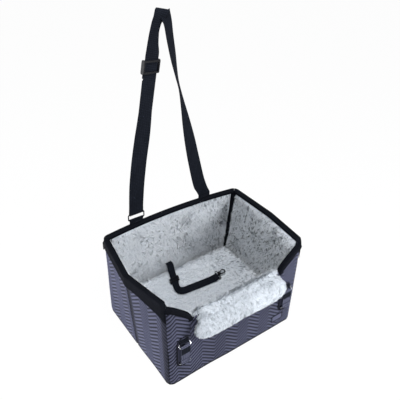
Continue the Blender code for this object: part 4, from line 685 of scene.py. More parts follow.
# from the blade's own tone: its two roots, its two middle points and its tip; the darker roots are partly undercoat and
# partly painted shade in the pile
bladeTonesAndShade = np.array([-0.24, -0.24, -0.07, -0.07, 0.08])


def meshArrays(source):
    # points, triangles and normals of a mesh at its final shape
    source.calc_loop_triangles()
    points = np.empty(len(source.vertices) * 3)
    source.vertices.foreach_get("co", points)
    normals = np.empty(len(source.vertices) * 3)
    source.vertices.foreach_get("normal", normals)
    triangles = np.empty(len(source.loop_triangles) * 3, int)
    source.loop_triangles.foreach_get("vertices", triangles)
    return points.reshape(-1, 3), triangles.reshape(-1, 3), normals.reshape(-1, 3)


def growPile(points, triangles, normals, count, seed, style):
    # blades stand on random places of the triangles, chosen by area, and lean along a slow wind over the surface
    rng = np.random.default_rng(seed)
    a, b, c = (points[triangles[:, k]] for k in range(3))
    area = np.linalg.norm(np.cross(b - a, c - a), axis=1)
    chosen = rng.choice(len(triangles), count, p=area / area.sum())
    first, second = rng.random((2, count, 1))
    over = first + second > 1
    first, second = np.where(over, 1 - first, first), np.where(over, 1 - second, second)
    corners = triangles[chosen]
    root = a[chosen] + (b[chosen] - a[chosen]) * first + (c[chosen] - a[chosen]) * second
    up = unit(normals[corners[:, 0]] * (1 - first - second) + normals[corners[:, 1]] * first
              + normals[corners[:, 2]] * second)

    def airs(size, start):
        return np.stack([cloudNoise(root, size, start + k) for k in range(3)], axis=1)

    wind = airs(style["wind"], seed) + style["clumpWind"] * airs(style["clump"], seed + 7) + np.array(style["comb"])
    wind -= up * np.sum(wind * up, axis=1, keepdims=True)
    way = unit(up + style["lean"] * wind + style["spread"] * rng.normal(size=(count, 3)))
    way = np.where(np.sum(way * up, axis=1, keepdims=True) < style["upright"], unit(way + up), way)
    length = style["length"] * (style["shortest"] + style["varying"] * rng.random((count, 1)))
    across = unit(np.cross(way, rng.normal(size=(count, 3))))
    face = np.cross(across, way)
    turned = np.where(np.sum(face * up, axis=1, keepdims=True) < 0, -1.0, 1.0)
    across, face = across * turned, face * turned
    half = across * style["width"] / 2
    middle = root + way * length * style["bendAt"]
    tip = root + way * length + unit(wind + up * 0.01) * length * style["droop"]
    slim = half * style["taper"]
    blades = np.stack([root - half, root + half, middle - slim, middle + slim, tip], axis=1)
    blades[..., 2] = np.minimum(blades[..., 2], style["ceiling"])
    start = np.arange(count)[:, None] * 5
    clump = cloudNoise(root, style["clump"], seed + 21)
    fleck = cloudNoise(root, style["fleck"], seed + 31) > style["fleckAbove"]
    # the flecks darken more towards the right: partly real flecks, partly painted shade on the right wall and floor
    towards = np.clip((root[:, 0] - style["fleckFrom"]) / style["fleckRun"], *style["fleckRange"])
    lift = style["tone"] + style["clumpTone"] * clump + style["strayTone"] * rng.normal(size=count)
    tone = np.clip((lift - style["dark"] * towards * fleck)[:, None] + bladeTonesAndShade, 0, 1)
    soft = unit(up * style["softNormal"] + face * (1 - style["softNormal"]))
    return (blades.reshape(-1, 3), start + np.array([0, 1, 3, 2]), start + np.array([2, 3, 4]), tone.ravel(),
            np.repeat(soft, 5, axis=0))


def furPiece(name, arrays, count, seed, style, nodes, growOn):
    # the lining's cloth, toned dark as undercoat and as painted shade under the pile, and its pile in one mesh with
    # softened normals
    points, triangles, normals = arrays
    lawn = triangles[growOn(points[triangles].mean(axis=1), normals[triangles].mean(axis=1))]
    blades, quads, tris, tone, soft = growPile(points, lawn, normals, count, seed, style)
    shift = len(points)
    faces = triangles.tolist() + (quads + shift).tolist() + (tris + shift).tolist()
    clump = cloudNoise(points, style["clump"], seed + 2)
    # the cloth sits below the blades' tone: partly undercoat, partly painted shade under the pile
    under = np.clip(style["tone"] + style["clothToneAndShade"] + style["clothClump"] * clump, 0, 1)
    mesh = newMesh(name, np.concatenate([points, blades]), faces, {"tone": np.concatenate([under, tone])},
                   sharpDeg=0)
    mesh.normals_split_custom_set_from_vertices(np.concatenate([normals, soft]).tolist())
    return newPiece(name, mesh, "fur", "seat", nodes)


furWalls = {"depth": 0.0115, "base": 0.0067, "bare": 0.058, "drop": 0.003, "rows": 50, "frontRows": 40,
            "blades": 40000, "backBlades": 48000, "frontBlades": 26000, "hem": 0.0085, "lowHem": 0.004,
            "lowHemFrom": -0.10, "frontHem": 0.007, "frontHalf": 0.192,
            "uneven": ((0.0014, 0.05, 3), (0.0007, 0.016, 4)), "over": ((0.0012, 0.0012), (0.0036, 0.0018))}


def liningArrays(line, rimsOf, rows, side):
    # the inner face of a wall, gently uneven, rolled over at its top towards the binding
    def depth(flat, z):
        place = np.concatenate([flat, z[..., None]], axis=-1)
        return furWalls["depth"] + sum(high * cloudNoise(place, size, seed) for high, size, seed in furWalls["uneven"])

    points, normals = wallSheet(line, rimsOf, rows, furWalls["base"], furWalls["drop"], depth, side)
    over = [points[-1] + normals[-1] * out + upwards * rise for out, rise in furWalls["over"]]
    grid = np.concatenate([points, np.array(over)])
    faces = gridFaces(*grid.shape[:2])
    mesh = newMesh("lining", grid, faces if side < 0 else faces[:, ::-1], sharpDeg=0)
    arrays = meshArrays(mesh)
    bpy.data.meshes.remove(mesh)
    return arrays


def clearOf(sign, place):
    # true away from the gusset, which shows as a wedge that narrows downwards
    share = np.clip(place[:, 2] / boxPlan["height"], 0, 1)
    ends = blendOf(onArc(backArc, 0.0, 0.5)[0], onArc(backArc, 1.0, 0.5)[0], share[:, None])
    far = np.hypot(place[:, 0] - sign * ends[:, 0], place[:, 1] - ends[:, 1])
    return far > boxPlan["wedgeHalf"] + boxPlan["wedgeReach"][sign] * share


def shown(place, rimsOf, below):
    # true above the cushion's hidden sides and below the rim by a distance
    return (place[:, 2] > furWalls["bare"]) & (place[:, 2] < rimsOf(place[:, :2]) - below)


def makeLinings():
    # the side and back linings stop short of the corner by the wedge times the rise
    def side(rise):
        points, normals = sideLine(rise, sideTurnShares, np.array([0.0]), 34)
        points[-1] -= unit(points[-1] - points[-2]) * boxPlan["linerWedge"] * rise
        return points, normals

    def back(rise):
        points, normals = backLine(rise, np.array([1.0]), 80)
        points[[0, -1], 0] -= np.array([1, -1]) * boxPlan["linerWedge"] * rise
        return points, normals

    arrays = liningArrays(back, backRims, furWalls["rows"], 1)
    furPiece("backLining", arrays, furWalls["backBlades"], 11, pileStyle, ["back_liner"], lambda place, normal:
             shown(place, backRims, furWalls["hem"]) & clearOf(-1, place) & clearOf(1, place))
    for seed, (label, sign) in enumerate(bothSides, 12):
        def growOn(place, normal):
            # the left wall's pile reaches higher, except near the front corner
            full = (place[:, 1] < furWalls["lowHemFrom"]) | (sign > 0)
            return clearOf(sign, place) & shown(place, sideRims, np.where(full, furWalls["hem"], furWalls["lowHem"]))

        arrays = liningArrays(side, sideRims, furWalls["rows"], sign)
        furPiece(f"{label}Lining", arrays, furWalls["blades"], seed, pileStyle, [f"{label}_liner"], growOn)
    arrays = liningArrays(lambda rise: frontLine(rise, turnShares, frontStations(90)), frontRims,
                          furWalls["frontRows"], 1)
    furPiece("frontLining", arrays, furWalls["frontBlades"], 14, pileStyle, ["front_liner"], lambda place, normal:
             shown(place, frontRims, furWalls["frontHem"]) & (np.abs(place[:, 0]) < furWalls["frontHalf"]))
    print("linings: four walls of plush")


# padded pieces

def mergedCopy(name, nodes):
    # copies of CAD solids in one mesh, their loose corners merged
    joined = bmesh.new()
    for node in nodes:
        joined.from_mesh(frame["nodes"][node].data)
    bmesh.ops.remove_doubles(joined, verts=joined.verts[:], dist=1e-5)
    mesh = bpy.data.meshes.new(name)
    joined.to_mesh(mesh)
    joined.free()
    return linked(name, mesh)


def settle(piece):
    # the modifiers' result becomes the mesh
    graph = bpy.context.evaluated_depsgraph_get()
    graph.update()
    mesh = bpy.data.meshes.new_from_object(piece.evaluated_get(graph))
    piece.modifiers.clear()
    piece.data = mesh
    return mesh


def remeshed(piece, size):
    # the same volume in even faces of the given size
    even = piece.modifiers.new("even", "REMESH")
    even.mode, even.voxel_size = "VOXEL", size
    return settle(piece)


def plump(piece, pad):
    # remeshed evenly, puffed by cloth under pressure with each point's way capped, then subdivided once;
    # the cloth of the result lies under its pile by the inset
    remeshed(piece, pad["voxel"])
    slack = piece.modifiers.new("slack", "SMOOTH")
    slack.factor = 0.5
    slack.iterations = pad["smooth"]
    settle(piece)
    before = meshArrays(piece.data)[0]
    cloth = piece.modifiers.new("puff", "CLOTH")
    cloth.settings.use_pressure = True
    cloth.settings.uniform_pressure_force = pad["pressure"]
    cloth.settings.effector_weights.gravity = 0.0
    cloth.settings.quality = 5
    cloth.collision_settings.use_collision = False
    scene = bpy.context.scene
    for step in range(1, pad["frames"] + 1):
        scene.frame_set(step)
    after = meshArrays(settle(piece))[0]
    scene.frame_set(1)
    move = after - before
    far = np.linalg.norm(move, axis=1, keepdims=True)
    points = before + move * np.minimum(1, pad["cap"] / np.maximum(far, 1e-9))
    piece.data.vertices.foreach_set("co", np.clip(points, pad["low"], pad["high"]).ravel())
    piece.data.update()
    fine = piece.modifiers.new("fine", "SUBSURF")
    fine.levels = fine.render_levels = 1
    points, triangles, normals = meshArrays(settle(piece))
    bpy.data.objects.remove(piece)
    return points - normals * pad["inset"], triangles, normals


cushionPad = {"voxel": 0.006, "smooth": 4, "pressure": 4.0, "frames": 20, "cap": 0.006, "inset": 0.0035,
              "low": (-0.199, -0.143, 0.046), "high": (0.199, 0.143, 0.082), "blades": 60000, "upward": 0.5,
              "half": 0.188}
rollPad = {"voxel": 0.005, "smooth": 5, "pressure": 4.0, "frames": 20, "cap": 0.005, "inset": 0.0050,
           "low": (-0.156, -0.192, 0.137), "high": (0.156, -0.128, 0.222), "blades": 60000, "turn": 0.200,
           "drawIn": 0.022, "endsFrom": 0.075, "endsRun": 0.065, "inwardMost": 0.6}


def makeCushion():
    arrays = plump(mergedCopy("cushionBlank", ["floor_cushion"]), cushionPad)
    piece = furPiece("floorCushion", arrays, cushionPad["blades"], 31, floorStyle, ["floor_cushion"],
                     lambda place, normal: (normal[:, 2] > cushionPad["upward"])
                     & (np.abs(place[:, 0]) < cushionPad["half"]))
    print("floor cushion: crowned and furred")


def makeFlapRoll():
    # the fold over the scoop and the flap below it are one soft roll, bent at the hinge
    nodes = ["front_fold", "front_flap"]
    points, triangles, normals = plump(mergedCopy("rollBlank", nodes), rollPad)
    # below the turn the ends draw in towards the hem, by the square of the way down
    down = np.clip((rollPad["turn"] - points[:, 2]) / (rollPad["turn"] - rollPad["low"][2]), 0, 1)
    ends = np.clip((np.abs(points[:, 0]) - rollPad["endsFrom"]) / rollPad["endsRun"], 0, 1)
    points[:, 0] -= np.sign(points[:, 0]) * rollPad["drawIn"] * down**2 * ends
    roll = withoutParent(furPiece("flapRoll", (points, triangles, normals), rollPad["blades"], 41, flapStyle, nodes,
                              lambda place, normal: (normal[:, 1] < rollPad["inwardMost"]) | (normal[:, 2] > 0.0)))
    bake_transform(roll)
    print("flap roll: one furred pad over the scoop")


# bindings over the rims

tape = {"lift": 0.0019, "inside": 0.0126, "turnIn": 0.0078, "sideDrop": 0.034, "sideFrontDrop": 0.045,
        "backDrop": 0.013, "topDrop": 0.0035, "scoopDrop": 0.010, "hem": 0.0004, "leastFall": 0.12,
        "seam": 0.003, "short": 3, "reach": (0.36, 0.42, 0.48), "ripple": 0.0005, "grain": 0.0003}


def bindingStrip(name, places, inwards, downs, drops, node, side=1):
    # a strip carried along the rim: up the outside, over the edge in a low arch, and down inside
    lift, inside, turnIn, hem = (tape[key] for key in ("lift", "inside", "turnIn", "hem"))
    turn = np.linspace(math.pi, 0, 9)
    middle, reach = (inside - lift) / 2, (inside + lift) / 2
    arch = np.stack([middle + reach * np.cos(turn), -lift * np.sin(turn) ** 0.6], axis=1)
    level = [*arch, (inside, 0.003), (inside, 0.006), (inside, turnIn), (inside - 0.002, turnIn + hem)]
    falls = [(-hem, 1.0), *((-lift, fall) for fall in np.linspace(1, tape["leastFall"], 9)[:-1])]
    profile = np.stack([*(np.stack([np.full(len(drops), out), drops * fall], axis=1) for out, fall in falls),
                        *(np.tile(point, (len(drops), 1)) for point in level)])
    points = places[None] + inwards[None] * profile[..., :1] + downs[None] * profile[..., 1:]
    ripple = tape["ripple"] * cloudNoise(points, 0.018, 1) + tape["grain"] * cloudNoise(points, 0.006, 2)
    points = points - inwards[None] * (ripple * (np.arange(len(profile)) < 10)[:, None])[..., None]
    points = points * mirror[side]
    width = runOf(points)
    uv = np.stack([width, np.broadcast_to(runOf(places), width.shape)], axis=-1)
    return fromGrid(name, points, "binding", [node], side, uv=uv, sharpDeg=60)


def rimFrames(line, rimsOf):
    # places on the rim, the way inwards and the way down the wall's face
    points, normals = line(1.0)
    rims = rimsOf(points)

    def at(z, depth):
        share = (z / boxPlan["height"])[:, None]
        flat = blendOf(line(0.0)[0], points, share) - blendOf(line(0.0)[1], normals, share) * depth
        return np.column_stack([flat, z])

    outer, inner, lower = at(rims, 0.0), at(rims, 0.01), at(rims - 0.01, 0.0)
    return outer, (inner - outer) / 0.01, (lower - outer) / 0.01


def hemStitches(name, places, inwards, downs, drops, kept, side=1):
    # one row of stitches above a binding's lower edge
    edge = places + downs * (drops - tape["seam"])[:, None] - inwards * (tape["lift"] + web["proud"])
    stitching(name, [(edge[kept], -inwards[kept])], "seat", side)


def makeBindings():
    # the last stations of a rim reach the corner with only its top, clear of the zip
    reach = np.concatenate([backTurnShares, tape["reach"]])
    short = tape["short"]
    places, inwards, downs = rimFrames(lambda rise: sideLine(rise, sideTurnShares, reach, 80), sideRims)
    forward = np.clip((places[-1, 1] - places[:, 1]) / (places[-1, 1] - places[0, 1]), 0, 1)
    drops = blendOf(tape["sideDrop"], tape["sideFrontDrop"], np.clip(3 * forward - 2, 0, 1))
    drops[-short:] = tape["topDrop"]
    for label, sign in bothSides:
        bindingStrip(f"{label}Binding", places, inwards, downs, drops, f"{label}_binding", sign)
        hemStitches(f"{label}BindingStitches", places, inwards, downs, drops, slice(None, -short), sign)
    places, inwards, downs = rimFrames(lambda rise: backLine(rise, 1 - reach[::-1], 160), backRims)
    drops = np.full(len(places), tape["backDrop"])
    drops[:short] = drops[-short:] = tape["topDrop"]
    bindingStrip("backBinding", places, inwards, downs, drops, "back_binding")
    hemStitches("backBindingStitches", places, inwards, downs, drops, slice(short, -short))

    across, height = scoopEdge(60)
    edge = np.stack([across, np.array([frontY(z) for z in height]), height], axis=1)
    turnPoints, turnNormals = frontArc(1.0, turnShares[1:])
    turned = np.column_stack([turnPoints, cornerRim(turnPoints[:, 1])])
    edge = np.concatenate([edge, turned])
    inwards = np.concatenate([np.tile([0.0, 1.0, 0.0], (len(across), 1)),
                              np.column_stack([-turnNormals, np.zeros(len(turned))])])
    steps = unit(np.gradient(edge, axis=0))
    steps[0] = upwards
    downs = np.cross(inwards, steps)
    for _ in range(3):
        downs[1:-1] = (downs[:-2] + downs[1:-1] * 2 + downs[2:]) / 4
    downs = unit(downs)
    downs[:, 1] = downs[:, 2] * (frontY(boxPlan["height"]) - frontY(0.0)) / boxPlan["height"]
    for label, sign in bothSides:
        bindingStrip(f"{label}ScoopBinding", edge, inwards, downs, np.full(len(edge), tape["scoopDrop"]),
                     f"scoop_binding_{label}", sign)
    print("bindings: side, back and scoop rims")


# webbing

web = {"thickness": 0.0014, "clearance": 0.0003, "gap": 0.0005, "hump": 0.00016, "proud": 0.0001,
       "selvedge": (0.0016, 0.0030)}


def frameAt(origin, xAxis, yAxis):
    # rows of axes with y leaning towards the given way, and the origin
    x = unit(xAxis)
    z = unit(np.cross(x, yAxis))
    return np.array([x, np.cross(z, x), z]), np.asarray(origin, float)


def inFrame(at, points):
    # the frame's origin plus each place times the frame's axes
    return at[1] + np.asarray(points, float) @ at[0]


def glideFrame(place, width, way, facing, lift):
    # a slider's frame: turned half round where it looks away from the facing, then lifted off the web
    axes, origin = frameAt(place, width, way)
    if axes[2] @ facing < 0:
        axes = axes * np.array([[-1.0], [1.0], [-1.0]])
    return axes, inFrame((axes, origin), [0.0, 0.0, lift])


def webSection(half, thickness):
    # round edges, a low selvedge beside each, and a flat middle: places across and through, anticlockwise
    bend = thickness / 2
    turn = np.linspace(-math.pi / 2, math.pi / 2, 6)
    right = np.stack([half - bend + bend * np.cos(turn), bend * np.sin(turn)], axis=1)
    low, high = bend - web["hump"] / 2, bend + web["hump"]
    outer, inner = (half - inset for inset in web["selvedge"])
    over = np.array([[outer, high], [inner, low], [half * 0.3, bend], [-half * 0.3, bend], [-inner, low],
                     [-outer, high]])
    return np.concatenate([right, over, -right, -over])


def shell(grid, uv=None):
    # a tube of rings with its ends closed, turned so that its volume is positive
    rows, columns = grid.shape[:2]
    points = grid.reshape(-1, 3)
    quads = gridFaces(rows, columns, closeColumns=True)
    middle = points.mean(axis=0)
    a, b, c, d = (points[quads[:, k]] - middle for k in range(4))
    inside = np.sum(a * np.cross(b, c)) + np.sum(a * np.cross(c, d)) < 0
    ends = [list(range(columns - 1, -1, -1)), list(range((rows - 1) * columns, rows * columns))]
    faces = quads.tolist() + ends
    if inside:
        faces = [face[::-1] for face in faces]
    return points, faces, np.zeros((len(points), 2)) if uv is None else uv.reshape(-1, 2)


def joinedShells(shells):
    # several shells in one, each one's faces counted on from the points before it
    points, faces, uvs, count = [], [], [], 0
    for part, partFaces, partUv in shells:
        points.append(part)
        uvs.append(partUv)
        faces += [[corner + count for corner in face] for face in partFaces]
        count += len(part)
    return np.concatenate(points), faces, np.concatenate(uvs)


def webShell(places, widths, normals, middles, half, thickness=web["thickness"]):
    # the section is carried along the run; the middles say how far it stands off its stations
    section = webSection(half, thickness)
    places = places + normals * np.broadcast_to(middles, len(places))[:, None]
    grid = places[:, None] + widths[:, None] * section[None, :, :1] + normals[:, None] * section[None, :, 1:]
    uv = np.broadcast_arrays(section[None, :, 0], runOf(places)[:, None])
    return shell(grid, np.stack(uv, axis=-1))


def pathShell(at, path, half, thickness=web["thickness"]):
    # webbing along a path in a frame's x and y, its width along z
    path = np.asarray(path, float)
    ways = unit(np.gradient(path, axis=0))
    normals = np.stack([-ways[:, 1], ways[:, 0], np.zeros(len(path))], axis=1) @ at[0]
    places = inFrame(at, np.column_stack([path, np.zeros(len(path))]))
    return webShell(places, np.tile(at[0][2], (len(path), 1)), normals, 0.0, half, thickness)


def loopPath(bar, tail, shift):
    # out along one side of the tail, round the eye and back along the other side
    thick = web["thickness"]
    middle = bar + web["clearance"] + thick / 2
    high = math.asin(max(-1.0, min(1.0, (shift + thick / 2) / middle)))
    low = math.asin(max(-1.0, min(1.0, (shift - thick / 2) / middle)))
    turn = np.linspace(high, 2 * math.pi + low, 26)
    start, end = middle * math.cos(high), middle * math.cos(low)
    out = [(x, shift + thick / 2) for x in np.linspace(tail, start, 7)[:-1]]
    back = [(x, shift - thick / 2) for x in np.linspace(end, tail, 7)[1:]]
    return [*out, *((middle * math.cos(a), middle * math.sin(a)) for a in turn), *back]


def webPiece(name, shells, finish, body, nodes=()):
    # webbing of one shell or more, sharp past 55 degrees at its edges
    return shellPiece(name, joinedShells(shells), finish, nodes, body=body, sharpDeg=55)


def boxSeams(at, low, high, half, *lifts):
    # the four sides and the two diagonals of a sewn box, on each face of a frame's x and z at a lift
    corners = [(low, -half), (high, -half), (high, half), (low, half), (low, -half), (high, half)]
    seams = [[corners[k], corners[k + 1]] for k in range(5)] + [[(high, -half), (low, half)]]
    return [(inFrame(at, [(x, lift, z) for x, z in seam]), np.tile(at[0][1] * math.copysign(1.0, lift), (2, 1)))
            for lift in lifts for seam in seams]


stitch = {"spacing": 0.0032, "length": 0.0021, "radius": 0.00036,
          "rings": ((-0.5, 0.15), (-0.3, 1.0), (0.3, 1.0), (0.5, 0.15))}


def stitching(name, seams, body, side=1):
    # short spindles of thread: two rings of five corners between two small ends
    centres, alongs, outs = [], [], []
    for path, ways in seams:
        run = runOf(path)
        marks = np.arange(stitch["spacing"] / 2, run[-1], stitch["spacing"])
        found = [np.stack([np.interp(marks, run, values[:, k]) for k in range(3)], axis=1)
                 for values in (path, np.gradient(path, run, axis=0), ways)]
        centres.append(found[0])
        alongs.append(unit(found[1]))
        outs.append(unit(found[2]))
    centre, along, out = (np.concatenate(part) for part in (centres, alongs, outs))
    beside = np.cross(along, out)
    rings = [centre + along * stitch["length"] * share
             + (out * math.cos(angle) + beside * math.sin(angle)) * stitch["radius"] * size
             for share, size in stitch["rings"] for angle in np.arange(5) * 2 * np.pi / 5]
    points = np.stack(rings, axis=1) * mirror[side]
    faces = gridFaces(4, 5, closeColumns=True)
    start = np.arange(len(centre))[:, None, None] * 20
    order = -1 if side > 0 else 1
    quads = (start + faces[None, :, ::order]).reshape(-1, 4)
    ends = np.concatenate([start[:, 0] + np.arange(5)[::-order], start[:, 0] + 15 + np.arange(5)[::order]])
    mesh = newMesh(name, points.reshape(-1, 3), quads.tolist() + ends.tolist(), sharpDeg=0)
    return newPiece(name, mesh, "thread", body)


strap = {"tabX": -0.115, "endX": 0.107, "tabHeight": 0.012, "bar": 0.0016, "ringHeight": 0.018, "rise": 0.508,
         "spread": 0.222, "lean": 0.005, "foldReach": 0.015, "meet": 0.0004, "bend": 0.0055, "endGap": 0.00175,
         "run": 0.025, "sliderAt": 0.389, "half": 0.020, "core": 0.0012, "foldTail": 0.026, "seamHalf": 0.016,
         "inset": 0.00275}

strapRoute = (
    (0.00000, 0.0000, 0.0000, 0, 0), (0.00901, 0.0807, 0.0000, -4, 0), (0.02477, 0.1791, -0.1000, -7, 0),
    (0.06081, 0.3071, -0.2000, -6, 0), (0.10135, 0.4154, -0.3000, -4, 0), (0.12477, 0.4783, -0.3450, 2, 0),
    (0.14440, 0.5374, -0.3696, 9, 0), (0.15513, 0.5689, -0.3800, 11, 0), (0.16855, 0.6083, -0.3930, 11, 0),
    (0.18330, 0.6516, -0.4073, 11, 0), (0.20007, 0.7008, -0.4235, 11, 0), (0.21684, 0.7500, -0.4398, 11, 0),
    (0.23160, 0.7933, -0.4541, 11, 0), (0.24166, 0.8228, -0.4638, 11, 0), (0.24685, 0.8602, -0.5200, 20, 0),
    (0.26351, 0.9114, -0.5600, 26, 0), (0.29054, 0.9508, -0.6000, 24, 0), (0.31982, 0.9744, -0.6200, 18, 8),
    (0.34685, 0.9902, -0.4500, 12, 14), (0.37387, 1.0000, 0.2000, 10, 15), (0.40090, 0.9902, 0.8500, 18, 10),
    (0.42793, 0.9705, 1.0200, 27, 0), (0.45270, 0.9370, 1.0000, 33, 0), (0.47748, 0.8740, 0.9500, 36, 0),
    (0.51802, 0.7854, 0.8500, 41, 0), (0.55856, 0.7028, 0.7600, 51, 0), (0.59459, 0.6358, 0.7000, 56, 0),
    (0.64189, 0.5433, 0.6000, 46, 0), (0.69369, 0.4449, 0.5000, 31, 0), (0.75676, 0.3268, 0.4000, 16, 0),
    (0.81982, 0.2087, 0.3000, 8, 0), (0.91441, 0.0492, 0.1200, 2, 0), (1.00000, -0.0335, 0.0000, 0, 0),
)


def throughStations(stations, steps):
    # Catmull-Rom curves between each pair of stations
    points = np.asarray(stations, float)
    padded = np.concatenate([[2 * points[0] - points[1]], points, [2 * points[-1] - points[-2]]])
    a, b, c, d = (padded[k:len(points) - 1 + k, None] for k in range(4))
    share = (np.arange(steps) / steps)[None, :, None]
    made = 0.5 * (2 * b + (c - a) * share + (2 * a - 5 * b + 4 * c - d) * share**2
                  + (3 * b - a - 3 * c + d) * share**3)
    return np.concatenate([made.reshape(-1, points.shape[1]), points[-1:]])


def rimLine(x):
    # depth of the middle of the back binding, and the height of its top
    end = onArc(backArc, 1.0, 1.0)[0]
    share = 1 - (x / end[0]) ** 2
    depth = end[1] + boxPlan["backBow"] * share - strap["inset"]
    return depth, boxPlan["height"] + boxPlan["backRise"] * share + tape["lift"]


def strapStations(steps):
    # the strap's run over its top: places, widths and front normals
    depth, top = rimLine(strap["tabX"])
    axis = top + strap["tabHeight"]
    bar = axis + strap["ringHeight"]
    fine = throughStations(strapRoute, steps)
    places = np.column_stack([strap["tabX"] + strap["spread"] * fine[:, 0], depth + strap["lean"] * fine[:, 2],
                              bar + strap["rise"] * fine[:, 1]])
    places[-1] = [strap["endX"], depth, axis + strap["meet"]]
    turns, tilts = np.radians(fine[:, 3:]).T
    widths = np.column_stack([np.cos(turns) * np.cos(tilts), np.sin(turns) * np.cos(tilts), -np.sin(tilts)])
    tangents = unit(np.gradient(places, axis=0))
    high = places[:, 2]
    square = np.clip((high - bar) / strap["run"], 0, 1) * np.clip((high.max() - high) / strap["foldReach"], 0, 1)
    widths = unit(widths - tangents * (np.sum(widths * tangents, axis=1) * square)[:, None])
    return places, widths, unit(np.cross(widths, tangents)), depth, axis, bar


def makeStrap():
    thick, gap = web["thickness"], web["gap"]
    places, widths, normals, depth, axis, bar = strapStations(9)
    eye = strap["bar"] + web["clearance"]
    _, rimTop = rimLine(strap["tabX"])
    tabAt = frameAt([strap["tabX"], depth, axis], [0, 0, -1], [0, -1, 0])
    tail = axis - rimTop - gap
    webPiece("strapTab", [pathShell(tabAt, loopPath(strap["bar"], tail, 0.0), strap["half"])], "web", "seat",
             ["strap_tab"])
    face = thick + web["proud"]
    stitching("strapTabStitches", boxSeams(tabAt, tail * 0.45, tail - 0.001, strap["seamHalf"], face, -face), "seat")

    over = int(np.argmax(places[:, 2]))
    climb = np.clip((places[:, 2] - bar) / strap["run"], 0, 1)
    near = 1 - climb**2 * (3 - 2 * climb)
    near[over:] = 0.0
    lows = blendOf(gap / 2, eye, near)
    ending = np.clip((places[:, 2] - places[-1, 2]) / strap["run"], 0, 1)
    ending[:over] = 1.0
    lows = blendOf(-thick / 2, lows, ending)
    # the webbing starts with half a turn round the ring's bar
    turns = np.linspace(math.pi, 0, 18)[:-1, None]
    wrap = normals[0] * np.cos(turns) - upwards * np.sin(turns)
    padding = (len(wrap), 0)
    around = [np.pad(values, (padding, (0, 0)), mode="edge") for values in (places, widths)]
    middles = np.pad(lows, padding, constant_values=eye) + thick / 2
    webPiece("strapWebbing", [webShell(*around, np.concatenate([wrap, normals]), middles, strap["half"])],
             "web", "strap", ["strap_webbing"])

    coarse, coarseWidths, coarseNormals, *_ = strapStations(3)
    top = int(np.argmax(coarse[:, 2]))
    at = int(np.argmin(np.abs(coarse[:top, 2] - (bar + strap["sliderAt"]))))
    glide = glideFrame(coarse[at], coarseWidths[at], coarse[at + 1] - coarse[at - 1], coarseNormals[at], gap / 2)
    makeFold("sliderFold", glide, strap["core"], strap["foldTail"], strap["half"], "strap_slider", ["slider_fold"])

    kept = (np.arange(len(places)) < over) & (places[:, 2] < coarse[at][2] - strap["foldTail"] - thick)
    lifted = places[kept].copy()
    lifted[0, 2] += gap
    layer = webShell(lifted, widths[kept], normals[kept], -lows[kept] - thick / 2, strap["half"])
    returning = withoutParent(webPiece("strapReturn", [layer], "web", "strap", ["strap_return"]))
    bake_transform(returning)

    _, endTop = rimLine(strap["endX"])
    endAt = frameAt([strap["endX"], depth, axis - strap["endGap"]], [0, 0, -1], [0, -1, 0])
    fall = axis - strap["endGap"] - endTop - gap
    # the sewn end's top bends with the strap
    route = [(x, 0.0) for x in np.linspace(strap["meet"] - strap["endGap"], fall, 12)]
    ending = withoutParent(webPiece("strapEnd", [pathShell(endAt, route, strap["half"])], "web", "seat", ["strap_end"]))
    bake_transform(ending)
    face = thick / 2 + web["proud"]
    stitching("strapEndStitches", boxSeams(endAt, 0.004, fall - 0.001, strap["seamHalf"], face, -face), "seat")
    print("strap: webbing, fold, return, tab and end")


def makeFold(name, glide, core, tail, half, body, nodes):
    # webbing sewn round a slider's core bar; its double tail hangs behind the main layer
    thick = web["thickness"]
    back = core + web["clearance"] * 2 + thick
    axes = np.array([-glide[0][1], -glide[0][2], glide[0][0]])
    at = (axes, inFrame(glide, [0.0, 0.0, -back]))
    shift = thick - (core + web["clearance"] + thick)
    webPiece(name, [pathShell(at, loopPath(core, tail, shift), half)], "web", body, nodes)
    faces = (shift + thick + web["proud"], shift - thick - web["proud"])
    stitching(f"{name}Stitches", boxSeams(at, tail * 0.5, tail - 0.002, half * 0.8, *faces), body)


tether = {"half": 0.010, "bar": 0.0013, "x": -0.018, "y": 0.134, "height": 0.0925, "across": 0.085,
          "forward": 0.118, "tail": 0.012, "core": 0.0010, "station": 7, "anchorEnd": 0.1475,
          "seamHalf": 0.0075}

tetherRoute = (
    (0.0000, 0.0000, 0), (-0.0824, 0.1356, -15), (-0.1647, 0.2797, -27), (-0.2447, 0.4322, -30),
    (-0.3247, 0.5847, -30), (-0.3871, 0.7034, -38), (-0.4235, 0.8051, -46), (-0.4000, 0.8898, -52),
    (-0.2824, 0.9407, -52), (-0.0235, 0.9576, -52), (0.3059, 0.9788, -52), (0.6235, 0.9958, -50),
    (0.8824, 1.0000, -44), (1.0000, 0.9831, -38),
)


def tetherStations(steps):
    # the tether's run over the cushion, banked so that it stands on an edge
    fine = throughStations(tetherRoute, steps)
    places = np.column_stack([tether["x"] + tether["across"] * fine[:, 0],
                              tether["y"] - tether["forward"] * fine[:, 1], np.full(len(fine), tether["height"])])
    tangents = unit(np.gradient(places, axis=0))
    banks = np.radians(fine[:, 2])[:, None]
    widths = np.cross(tangents, upwards) * np.cos(banks) + upwards * np.sin(banks)
    first = np.array([np.sign(widths[0][0]), 0.0, 0.0])
    share = np.clip(np.arange(len(widths)) / (steps / 2), 0, 1)[:, None]
    widths = unit(blendOf(first, widths, share))
    return places, widths, tangents, unit(np.cross(widths, tangents))


